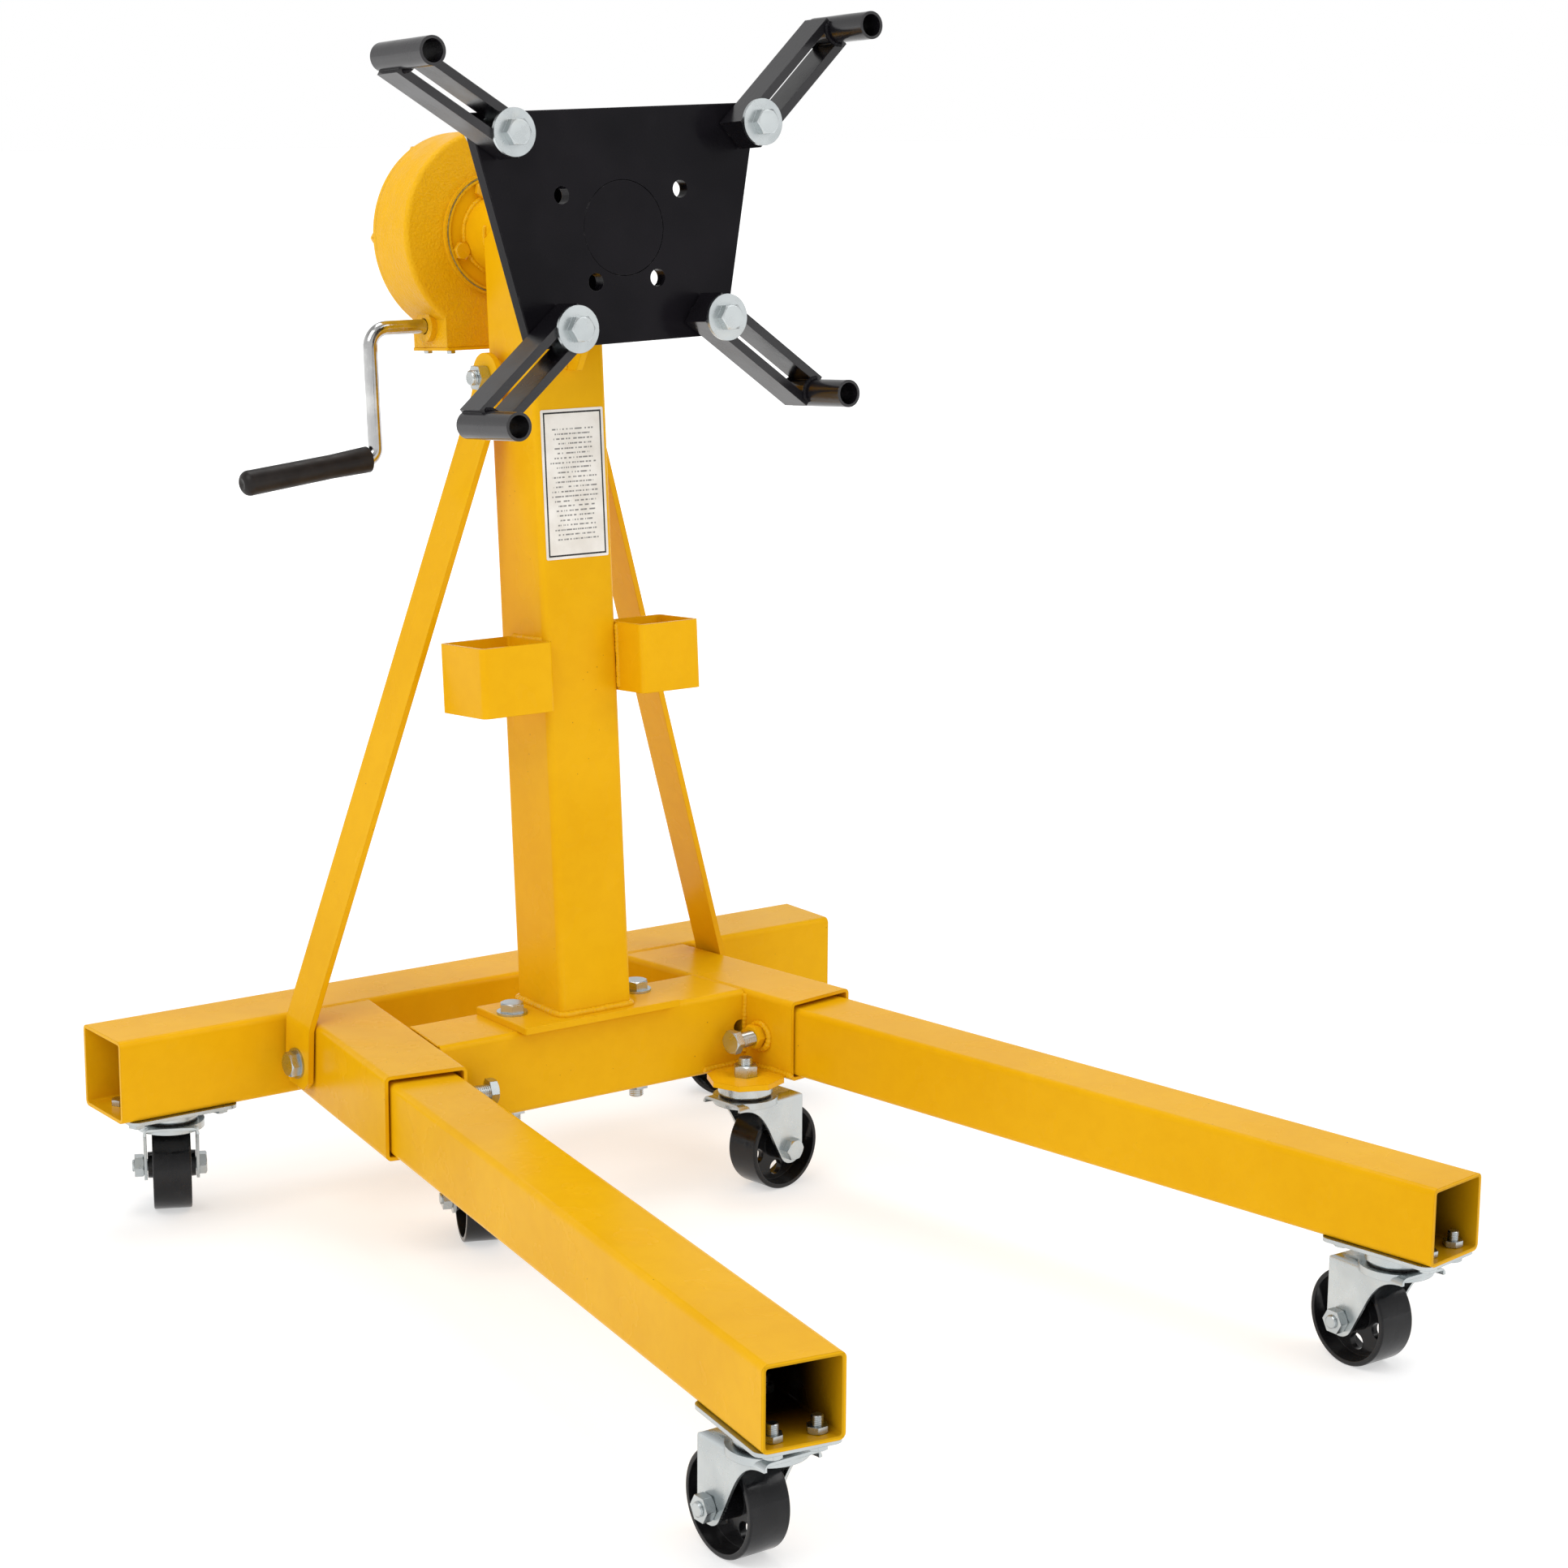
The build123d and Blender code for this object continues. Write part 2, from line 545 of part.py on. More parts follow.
def make_brace(side):
    """Bent flat strap from the sleeve up to the mast, with a rounded head and a clipped foot."""
    foot = Vector(0, *BRACE_FOOT[1:])
    head = MAST_ORIGIN + TO_FRONT * BRACE_HEAD_N + UP_MAST * BRACE_HEAD_U
    height = (head - foot).length
    outward = Vector(side, 0, 0)
    frame = Plane(origin=foot, x_dir=outward, z_dir=outward.cross(head - foot))
    flat = Plane(origin=foot, x_dir=-frame.z_dir, z_dir=outward)
    foot_x, head_x = BRACE_FOOT[0] + BRACE_T / 2, BRACE_HEAD_X + BRACE_T / 2
    half = BRACE_WIDTH / 2
    with BuildPart() as brace:
        with BuildSketch(frame):
            with BuildLine():
                FilletPolyline(
                    (foot_x, -BRACE_END),
                    (foot_x, BRACE_BENDS[0]),
                    (head_x, height + BRACE_BENDS[1]),
                    (head_x, height + BRACE_END),
                    radius=BRACE_BEND_R,
                )
                offset(amount=BRACE_T / 2, side=Side.BOTH, closed=True)
            make_face()
        extrude(amount=half, both=True)
        with BuildSketch(flat):
            Polygon(
                (BRACE_CLIP - half, -BRACE_END),
                (half - BRACE_CLIP, -BRACE_END),
                (half, BRACE_CLIP - BRACE_END),
                (half, height),
                (-half, height),
                (-half, BRACE_CLIP - BRACE_END),
                align=None,
            )
            with Locations((0, height)):
                Circle(half)
            with Locations((0, 0), (0, height)):
                Circle(M12[0] + HOLE_GAP, mode=Mode.SUBTRACT)
        extrude(amount=CROSSBAR_LENGTH / 2, mode=Mode.INTERSECT)
    return brace.part


def make_frame_bolts():
    """Bolts of the mast foot, the long bolt through both brace heads and the two brace foot bolts."""
    washer = {"washer_r": M12_WASHER[0], "washer_t": M12_WASHER[1]}
    solids = []
    for _, side in SIDES:
        foot = Plane(origin=(side * MAST_BOLT_X, MAST_Y, MAST_FOOT))
        solids += bolt(foot, M12, TUBE + PLATE_T, stud=MAST_BOLT_STUD, nut=True, **washer)
        outer = brace_foot_plane(side, BRACE_T)
        solids += bolt(outer, M12, BRACE_T + BRACE_FOOT_GRIP, **washer)
    right_face = brace_bolt_plane(1, BRACE_HEAD_X + BRACE_T)
    grip = 2 * (BRACE_HEAD_X + BRACE_T)
    solids += bolt(right_face, M12, grip, stud=BRACE_BOLT_STUD, nut=True, **washer)
    return group(solids)


def make_label():
    """Blank rectangular label plate on the mast's front."""
    width, height, thickness = LABEL
    front = Plane(origin=MAST_ORIGIN + TO_FRONT * (TUBE / 2), x_dir=(1, 0, 0), z_dir=TO_FRONT)
    with BuildPart() as label:
        with BuildSketch(front):
            with Locations((0, LABEL_AT)):
                RectangleRounded(width, height, LABEL_CORNER)
        extrude(amount=thickness)
    return label.part


# ---------------------------------------------------------------- spindle housing and gearbox
def flange_bolt_places():
    """Bolt places of the housing's flange, on the spindle's plane."""
    angles = [radians(FLANGE_BOLT_ANGLE + quarter * 90) for quarter in range(4)]
    return [(FLANGE_BOLT_RING * cos(angle), FLANGE_BOLT_RING * sin(angle)) for angle in angles]


def bottom_screw_places():
    """Places of the bottom cover's screws, as X and N."""
    middle = (GEAR_FRONT + GEAR_BACK) / 2
    across, along = BOTTOM_SCREWS
    return [(x, middle + n) for x in (-across, across) for n in (-along, along)]


def back_screw_places():
    """Places of the back cover's screws, on the spindle's plane."""
    ring = DRUM_R - DRUM_WALL / 2
    low_x, low_y = BACK_SCREW_LOW
    upper = [(ring * cos(radians(angle)), ring * sin(radians(angle))) for angle in BACK_SCREW_ANGLES]
    return upper + [(-low_x, low_y), (low_x, low_y)]


def underside_plane(depth):
    """Plane below the gearbox, facing down, with x along X and y towards the front."""
    return Plane(origin=SPINDLE.from_local_coords((0, -depth, 0)), x_dir=(1, 0, 0), z_dir=-UP_MAST)


def make_spindle_housing():
    """Tube and flange that carry the spindle over the mast, with the gusset in front of the mast."""
    flange_r, flange_t = HOUSING_FLANGE
    side_view = Plane(origin=SPINDLE.origin, x_dir=TO_FRONT, z_dir=(-1, 0, 0))
    with BuildPart() as housing:
        with BuildSketch(SPINDLE.offset(HOUSING_BACK)):
            Circle(flange_r)
            with Locations(*flange_bolt_places()):
                Circle(M8[0] + HOLE_GAP, mode=Mode.SUBTRACT)
        extrude(amount=flange_t)
        with BuildSketch(SPINDLE.offset(HOUSING_BACK)):
            Circle(HOUSING_R)
        extrude(amount=HOUSING_FRONT - HOUSING_BACK)
        with BuildSketch(side_view):
            Polygon(*GUSSET, align=None)
        extrude(amount=GUSSET_T / 2, both=True)
        with BuildSketch(SPINDLE.offset(HOUSING_BACK)):
            Circle(SPINDLE_R + BUSH_WALL)
        extrude(amount=HOUSING_FRONT - HOUSING_BACK, mode=Mode.SUBTRACT)
    return housing.part


def gearbox_outline():
    """Outline of the gearbox inside a sketch: the drum with the worm block below it."""
    Circle(DRUM_R)
    with Locations((0, (BLOCK_TOP + BLOCK_BASE) / 2)):
        Rectangle(2 * BLOCK_HALF, BLOCK_TOP - BLOCK_BASE)


def make_gearbox_housing():
    """Cast gearbox shell, open at the back and below, with bosses for spindle, worm and covers."""
    along = Axis(SPINDLE.origin, SPINDLE.z_dir)
    crank_side = Plane(origin=WORM.from_local_coords((0, 0, -BLOCK_HALF)), x_dir=UP_MAST, z_dir=(-1, 0, 0))
    boss_r, boss_length = CRANK_BOSS
    groove_in, groove_out, groove_depth = RING_GROOVE
    cavity_half = BLOCK_HALF - BLOCK_WALL
    with BuildPart() as shell:
        with BuildSketch(SPINDLE.offset(GEAR_BACK)):
            gearbox_outline()
        extrude(amount=GEAR_FRONT - GEAR_BACK)
        fillet(shell.faces().sort_by(along)[-1].edges().filter_by(GeomType.CIRCLE), DRUM_EDGE)
        with BuildSketch(SPINDLE.offset(GEAR_BACK)):
            Circle(DRUM_R - DRUM_WALL)
            with Locations((0, BLOCK_BASE / 2)):
                Rectangle(2 * cavity_half, -BLOCK_BASE)
        extrude(amount=GEAR_FRONT - DRUM_WALL - GEAR_BACK, mode=Mode.SUBTRACT)
        with BuildSketch(SPINDLE.offset(GEAR_FRONT)):
            Circle(RING_R[1])
        extrude(amount=RING_PROUD)
        with BuildSketch(SPINDLE.offset(GEAR_FRONT - BOSS_DEPTH)):
            Circle(BOSS_R)
        extrude(amount=BOSS_DEPTH)
        with BuildSketch(SPINDLE.offset(GEAR_FRONT + RING_PROUD)):
            Circle(groove_out)
            Circle(groove_in, mode=Mode.SUBTRACT)
        extrude(amount=-groove_depth, mode=Mode.SUBTRACT)
        with BuildSketch(SPINDLE.offset(HOUSING_BACK)):
            Circle(RING_R[0])
        extrude(amount=GEAR_FRONT + RING_PROUD - HOUSING_BACK, mode=Mode.SUBTRACT)
        with BuildSketch(SPINDLE.offset(GEAR_FRONT - BOSS_DEPTH)):
            Circle(SPINDLE_R + BUSH_WALL)
            with Locations(*flange_bolt_places()):
                Circle(M8[0] + HOLE_GAP)
        extrude(amount=BOSS_DEPTH, mode=Mode.SUBTRACT)
        with BuildSketch(crank_side):
            Circle(boss_r)
        extrude(amount=boss_length)
        with BuildSketch(crank_side.offset(boss_length)):
            Circle(CRANK_BORE)
        extrude(amount=-boss_length - BLOCK_WALL, mode=Mode.SUBTRACT)
        for start in (BUSH_INSET - BLOCK_HALF, cavity_half):
            with BuildSketch(WORM.offset(start)):
                Circle(BUSH_R)
            extrude(amount=BUSH_LENGTH, mode=Mode.SUBTRACT)
        with BuildSketch(underside_plane(-BLOCK_BASE)):
            with Locations(*bottom_screw_places()):
                Circle(M4[0] + HOLE_GAP)
        extrude(amount=-SCREW_HOLE, mode=Mode.SUBTRACT)
        with BuildSketch(SPINDLE.offset(GEAR_BACK)):
            with Locations(*back_screw_places()):
                Circle(M5[0] + HOLE_GAP)
        extrude(amount=SCREW_HOLE, mode=Mode.SUBTRACT)
    return shell.part


def make_gearbox_back_cover():
    """Flat back cover of the gearbox with a low round boss."""
    along = Axis(SPINDLE.origin, SPINDLE.z_dir)
    with BuildPart() as cover:
        with BuildSketch(SPINDLE.offset(GEAR_BACK)):
            gearbox_outline()
            with Locations(*back_screw_places()):
                Circle(M5[0] + HOLE_GAP, mode=Mode.SUBTRACT)
        extrude(amount=-BACK_COVER_T)
        chamfer(cover.faces().sort_by(along)[0].outer_wire().edges(), BACK_COVER_EDGE)
        with BuildSketch(SPINDLE.offset(GEAR_BACK - BACK_COVER_T)):
            Circle(HUB[0])
        extrude(amount=-BACK_COVER_BOSS)
    return cover.part


def make_gearbox_bottom_cover():
    """Thin cover plate under the worm block."""
    width = 2 * (BLOCK_HALF + BOTTOM_COVER_LIP)
    depth = GEAR_FRONT - GEAR_BACK + BACK_COVER_T + 2 * BOTTOM_COVER_LIP
    middle = (GEAR_FRONT + GEAR_BACK - BACK_COVER_T) / 2
    with BuildPart() as cover:
        with BuildSketch(underside_plane(-BLOCK_BASE)):
            with Locations((0, middle)):
                RectangleRounded(width, depth, PLATE_CORNER)
            with Locations(*bottom_screw_places()):
                Circle(M4[0] + HOLE_GAP, mode=Mode.SUBTRACT)
        extrude(amount=BOTTOM_COVER_T)
    return cover.part


def make_gearbox_screws():
    """Flange bolts, back cover screws and bottom cover screws of the gearbox."""
    solids = []
    back = SPINDLE.offset(GEAR_BACK - BACK_COVER_T)
    under = underside_plane(BOTTOM_COVER_T - BLOCK_BASE)
    for x, y in flange_bolt_places():
        spot = SPINDLE.from_local_coords((x, y, HOUSING_BACK + HOUSING_FLANGE[1]))
        tangent = SPINDLE.x_dir * -y + SPINDLE.y_dir * x
        solids += bolt(Plane(origin=spot, x_dir=tangent, z_dir=TO_FRONT), M8, HOUSING_FLANGE[1] + SCREW_DEPTH)
    for x, y in back_screw_places():
        spot = back.from_local_coords((x, y, 0))
        solids += bolt(Plane(origin=spot, x_dir=(1, 0, 0), z_dir=-TO_FRONT), M5, BACK_COVER_T + SCREW_DEPTH)
    for x, n in bottom_screw_places():
        spot = under.from_local_coords((x, n, 0))
        solids += bolt(Plane(origin=spot, x_dir=(1, 0, 0), z_dir=-UP_MAST), M4, BOTTOM_COVER_T + SCREW_DEPTH)
    return group(solids)


def make_gearbox_bushes():
    """Two bronze bushes of the spindle and two of the worm shaft."""
    inner, outer = SPINDLE_R + RUNNING, SPINDLE_R + BUSH_WALL
    back_length, front_length = SPINDLE_BUSHES
    back_bush = cylinder_on(SPINDLE.offset(GEAR_FRONT - BOSS_DEPTH), outer, back_length, inner)
    front_bush = cylinder_on(SPINDLE.offset(HOUSING_FRONT - front_length), outer, front_length, inner)
    worm_bushes = [
        cylinder_on(WORM.offset(start), BUSH_R, BUSH_LENGTH, JOURNAL_R + RUNNING)
        for start in (BUSH_INSET - BLOCK_HALF, BLOCK_HALF - BLOCK_WALL)
    ]
    return group([back_bush, front_bush] + worm_bushes)


# ---------------------------------------------------------------- turning head
def make_spindle():
    """Hollow spindle with a thrust disc and the end flange that is let into the head plate."""
    with BuildPart() as spindle:
        with BuildSketch(HEAD.offset(SPINDLE_BACK)):
            Circle(SPINDLE_R)
        extrude(amount=SPINDLE_FLANGE_BACK - SPINDLE_BACK)
        with BuildSketch(HEAD.offset(HOUSING_FRONT + SPINDLE_GAP)):
            Circle(HOUSING_R)
        extrude(amount=SPINDLE_FLANGE_BACK - HOUSING_FRONT - SPINDLE_GAP)
        with BuildSketch(HEAD.offset(HOUSING_FRONT + SPINDLE_GAP)):
            Circle(THRUST_DISC[0])
        extrude(amount=THRUST_DISC[1])
        with BuildSketch(HEAD.offset(SPINDLE_FLANGE_BACK)):
            Circle(SPINDLE_FLANGE_R)
        extrude(amount=PLATE_FRONT - SPINDLE_FLANGE_BACK)
        with BuildSketch(HEAD.offset(SPINDLE_BACK)):
            Circle(SPINDLE_R - SPINDLE_WALL)
        extrude(amount=SPINDLE_FLANGE_BACK - SPINDLE_BACK, mode=Mode.SUBTRACT)
        chamfer(spindle.faces().sort_by(Axis(HEAD.origin, HEAD.z_dir))[-1].edges(), EDGE)
    return spindle.part


def make_head_plate():
    """Trapezoid head plate with four round holes and the holes of the arm bolts."""
    with BuildPart() as plate:
        with BuildSketch(HEAD.offset(PLATE_FRONT - HEAD_PLATE_T)) as outline:
            Polygon(
                (-PLATE_TOP_HALF, PLATE_TOP),
                (-PLATE_BASE_HALF, PLATE_BASE),
                (PLATE_BASE_HALF, PLATE_BASE),
                (PLATE_TOP_HALF, PLATE_TOP),
                align=None,
            )
            fillet(outline.vertices(), 2.5)
            Circle(SPINDLE_FLANGE_R, mode=Mode.SUBTRACT)
            with Locations(*[spot for spot, _ in ARMS.values()]):
                Circle(M12[0] + HOLE_GAP, mode=Mode.SUBTRACT)
            with Locations(*PLATE_HOLES):
                Circle(PLATE_HOLE_R, mode=Mode.SUBTRACT)
        extrude(amount=HEAD_PLATE_T)
        chamfer(plate.faces().sort_by(Axis(HEAD.origin, HEAD.z_dir))[-1].outer_wire().edges(), EDGE)
    return plate.part


def tooth_points(turn):
    """Corners of the worm wheel's teeth, turned by turn degrees."""
    half = PITCH / 4 - BACKLASH / 2
    flank = tan(radians(PRESSURE_ANGLE))
    root = (WHEEL_R - WHEEL_ROOT, half + WHEEL_ROOT * flank)
    tip = (WHEEL_R + WHEEL_TIP, half - WHEEL_TIP * flank)
    corners = ((*root, -1), (*tip, -1), (*tip, 1), (*root, 1))
    points = []
    for tooth in range(WHEEL_TEETH):
        centre = radians(turn + 360 / WHEEL_TEETH * (tooth + 0.5))
        for radius, half_width, hand in corners:
            angle = centre + hand * half_width / radius
            points.append((radius * cos(angle), radius * sin(angle)))
    return points


def make_worm_wheel():
    """Worm wheel on a long hub. Its teeth lean with the worm's thread."""
    lead_slope = PITCH / (2 * pi * WORM_R)
    half_face = WHEEL_FACE / 2
    twist = degrees(half_face * lead_slope / WHEEL_R)
    web_depth, web_r = WHEEL_WEB
    hub_r, hub_back, hub_front = HUB
    with BuildPart() as wheel:
        for half in (-1, 1):
            with BuildSketch(SPINDLE.offset(WORM_N + half * half_face)):
                Polygon(*tooth_points(half * twist), align=None)
        loft(ruled=True)
        for half in (-1, 1):
            with BuildSketch(SPINDLE.offset(WORM_N + half * half_face)):
                Circle(web_r)
            extrude(amount=-half * web_depth, mode=Mode.SUBTRACT)
        with BuildSketch(SPINDLE.offset(hub_back)):
            Circle(hub_r)
        extrude(amount=hub_front - hub_back)
        with BuildSketch(SPINDLE.offset(hub_back)):
            Circle(SPINDLE_R)
        extrude(amount=hub_front - hub_back, mode=Mode.SUBTRACT)
    return wheel.part


def make_arm_bolt(spot):
    """Arm bolt with its wide washer, the thin spacer behind the arm and the nut behind the plate."""
    seat = ARM_FRONT + 2 * SEAT
    face = Plane(origin=HEAD.from_local_coords((*spot, seat)), x_dir=HEAD.x_dir, z_dir=HEAD.z_dir)
    grip = seat - PLATE_FRONT + HEAD_PLATE_T + SEAT
    spacer = face.offset(PLATE_FRONT + SEAT - seat)
    solids = bolt(face, M12, grip, stud=ARM_BOLT_STUD, washer_r=WASHER_R, washer_t=WASHER_T, nut=True)
    solids.append(cylinder_on(spacer, SPACER_R, ARM_BACK - PLATE_FRONT - 2 * SEAT, M12[0]))
    return group(solids)


def make_arm(spot, heading):
    """Slotted arm of two bars on edge, with the finger tube welded across its outer end."""
    centre = HEAD.from_local_coords((*spot, ARM_BACK))
    plane = turned(Plane(origin=centre, x_dir=HEAD.x_dir, z_dir=HEAD.z_dir), heading)
    finger = Plane(origin=plane.from_local_coords((ARM_REACH, 0, 0)), x_dir=plane.x_dir, z_dir=plane.z_dir)
    start, end = -ARM_TAIL, ARM_REACH - ARM_BAR_END
    slot_start = start + ARM_BAR
    with BuildPart() as arm:
        with BuildSketch(plane):
            with Locations(((start + end) / 2, 0)):
                Rectangle(end - start, ARM_WIDTH)
            with Locations(((slot_start + end) / 2, 0)):
                Rectangle(end - slot_start, ARM_SLOT, mode=Mode.SUBTRACT)
        extrude(amount=ARM_FRONT - ARM_BACK)
        with BuildSketch(finger):
            Circle(FINGER_R)
        extrude(amount=FINGER_FRONT - ARM_BACK)
        with BuildSketch(finger):
            Circle(FINGER_BORE)
        extrude(amount=FINGER_FRONT - ARM_BACK, mode=Mode.SUBTRACT)
    return arm.part


# ---------------------------------------------------------------- worm and crank
def make_worm():
    """Single-start right-hand worm on its shaft, made upright and then laid on its axis."""
    half = PITCH / 4 - BACKLASH / 2
    flank = tan(radians(PRESSURE_ANGLE))
    depth = WORM_ROOT + THREAD_SINK
    shoulder = BLOCK_HALF - BLOCK_WALL - END_PLAY
    journal = BLOCK_HALF - BUSH_INSET
    with BuildPart() as worm:
        with BuildLine():
            thread = Helix(PITCH, WORM_TURNS * PITCH, WORM_R, center=(0, 0, -WORM_TURNS * PITCH / 2))
        with BuildSketch(Plane(origin=thread @ 0, x_dir=(1, 0, 0), z_dir=thread % 0)):
            Polygon(
                (-depth, -half - depth * flank),
                (WORM_TIP, WORM_TIP * flank - half),
                (WORM_TIP, half - WORM_TIP * flank),
                (-depth, half + depth * flank),
                align=None,
            )
        sweep(path=thread, is_frenet=True)
        with BuildSketch(Plane.XY.offset(-shoulder)):
            Circle(WORM_R - WORM_ROOT)
        extrude(amount=2 * shoulder)
        with BuildSketch(Plane.XY.offset(-journal)):
            Circle(JOURNAL_R)
        extrude(amount=2 * journal - END_PLAY)
    return worm.part.moved(WORM.location)


def crank_corner():
    """Corner where the crank arm turns into the grip, and the direction out along the grip."""
    droop = radians(GRIP_DROOP)
    corner = WORM.from_local_coords((-CRANK_ARM, 0, -CRANK_X))
    return corner, Vector(-cos(droop), 0, 0) - UP_MAST * sin(droop)


def make_crank_rod():
    """Bent round bar of the crank, from the worm shaft's end to inside the grip."""
    corner, outward = crank_corner()
    start = WORM.from_local_coords((0, 0, BUSH_INSET - BLOCK_HALF))
    elbow = WORM.from_local_coords((0, 0, -CRANK_X))
    with BuildPart() as rod:
        with BuildLine() as path:
            FilletPolyline(start, elbow, corner, corner + outward * GRIP_SOCKET, radius=CRANK_BENDS)
        with BuildSketch(Plane(origin=start, x_dir=UP_MAST, z_dir=(-1, 0, 0))):
            Circle(CRANK_R)
        sweep(path=path.line)
    return rod.part


def make_crank_grip():
    """Sleeve grip with a flared inner end and a domed outer end with a dimple."""
    corner, outward = crank_corner()
    start = corner + outward * GRIP_START
    length = GRIP_END - GRIP_START
    collar, collar_length, slope_end = COLLAR
    collar_r, end_r = GRIP_R + collar, GRIP_R + GRIP_TAPER
    dimple_r, dimple = GRIP_DIMPLE
    dome_length, dome_side, dome_end = GRIP_DOME
    dome = length - dome_length
    section = Plane(origin=start, x_dir=TO_FRONT, z_dir=TO_FRONT.cross(outward))
    with BuildPart() as grip:
        with BuildSketch(section):
            with BuildLine():
                Polyline((0, length - dimple), (0, 0), (collar_r, 0), (collar_r, collar_length))
                Polyline((collar_r, collar_length), (GRIP_R, slope_end), (end_r, dome))
                ThreePointArc((end_r, dome), (end_r - dome_side, length - dome_end), (dimple_r, length))
                Line((dimple_r, length), (0, length - dimple))
            make_face()
        revolve(axis=Axis(start, outward))
        with BuildSketch(Plane(origin=start, x_dir=TO_FRONT, z_dir=outward)):
            Circle(CRANK_R)
        extrude(amount=GRIP_SOCKET - GRIP_START, mode=Mode.SUBTRACT)
    return grip.part


# ---------------------------------------------------------------- casters
def make_caster_top(plane, thickness=0.0):
    """Fixed top of a caster whose mount has its underside on plane: race cup, kingpin and any plate."""
    top = plane.origin.Z
    centre = Plane(origin=(plane.origin.X, plane.origin.Y, 0), x_dir=plane.x_dir)
    cup_base = CROWN_TOP + CUP_GAP
    head_r, head_t = KINGPIN_HEAD
    head_top = CROWN_TOP - SHEET - KINGPIN_PLAY
    with BuildPart() as caster_top:
        with BuildSketch(centre.offset(cup_base)):
            Circle(CUP_R)
        extrude(amount=top - cup_base)
        fillet(caster_top.faces().sort_by(Axis.Z)[0].edges(), CUP_EDGE)
        with BuildSketch(centre.offset(head_top)):
            Circle(KINGPIN_R)
        extrude(amount=top - head_top)
        with BuildSketch(centre.offset(head_top)):
            Circle(head_r)
        extrude(amount=-head_t)
        if thickness:
            with BuildSketch(plane):
                RectangleRounded(CASTER_PLATE[0], CASTER_PLATE[1], CASTER_PLATE_CORNER)
                with GridLocations(CASTER_BOLTS[0], CASTER_BOLTS[1], 2, 2):
                    Circle(M8[0] + HOLE_GAP, mode=Mode.SUBTRACT)
            extrude(amount=thickness)
    return caster_top.part


def caster_bolts(plane, head_z, head_up, stud):
    """Four M8 bolts through a caster plate and the tube wall on it, as a list of solids."""
    solids = []
    for x in (-CASTER_BOLTS[0] / 2, CASTER_BOLTS[0] / 2):
        for y in (-CASTER_BOLTS[1] / 2, CASTER_BOLTS[1] / 2):
            spot = plane.from_local_coords((x, y, head_z - plane.origin.Z))
            seat = Plane(origin=spot, x_dir=(1, 0, 0), z_dir=(0, 0, head_up))
            solids += bolt(seat, M8, WALL + CASTER_PLATE[2], stud=stud, nut=True)
    return solids


def make_rear_caster_plates():
    """Plates of the rear casters under the crossbar, with bolt heads inside the tube and nuts below."""
    thickness = CASTER_PLATE[2]
    solids = []
    for _, side in SIDES:
        plane = Plane(origin=(side * REAR_CASTER[0], REAR_CASTER[1], TUBE_BOTTOM - thickness))
        solids.append(make_caster_top(plane, thickness))
        solids += caster_bolts(plane, TUBE_BOTTOM + WALL, 1, M8[3] + REAR_STUD)
    return group(solids)


def make_leg_caster_plate(side):
    """Plate of a leg's caster, with bolt heads below and nuts inside the leg."""
    x, y = leg_caster_centre(side)
    z = TUBE_MID - LEG_DROP - LEG / 2 - CASTER_PLATE[2]
    plane = Plane(origin=(x, y, z), x_dir=leg_plane(side).z_dir)
    return group([make_caster_top(plane, CASTER_PLATE[2])] + caster_bolts(plane, z, -1, M8[3] + LEG_STUD))


def make_inner_caster_stems():
    """Tops of the inner casters with their threaded stems and the nuts on the corner plates."""
    plate_top = TUBE_BOTTOM + CORNER_PLATE[1]
    solids = []
    for _, side in SIDES:
        centre = Plane(origin=(side * INNER_CASTER[0], INNER_CASTER[1], TUBE_BOTTOM))
        with BuildPart() as stem:
            add(make_caster_top(centre))
            with BuildSketch(centre):
                Circle(M12[0])
            extrude(amount=CORNER_PLATE[1] + M12[3] + STEM_STUD)
            chamfer(stem.faces().sort_by(Axis.Z)[-1].edges(), EDGE)
        solids.append(stem.part)
        solids.append(hexagon(centre.offset(plate_top - TUBE_BOTTOM), M12[1], M12[3], M12[0]))
    return group(solids)


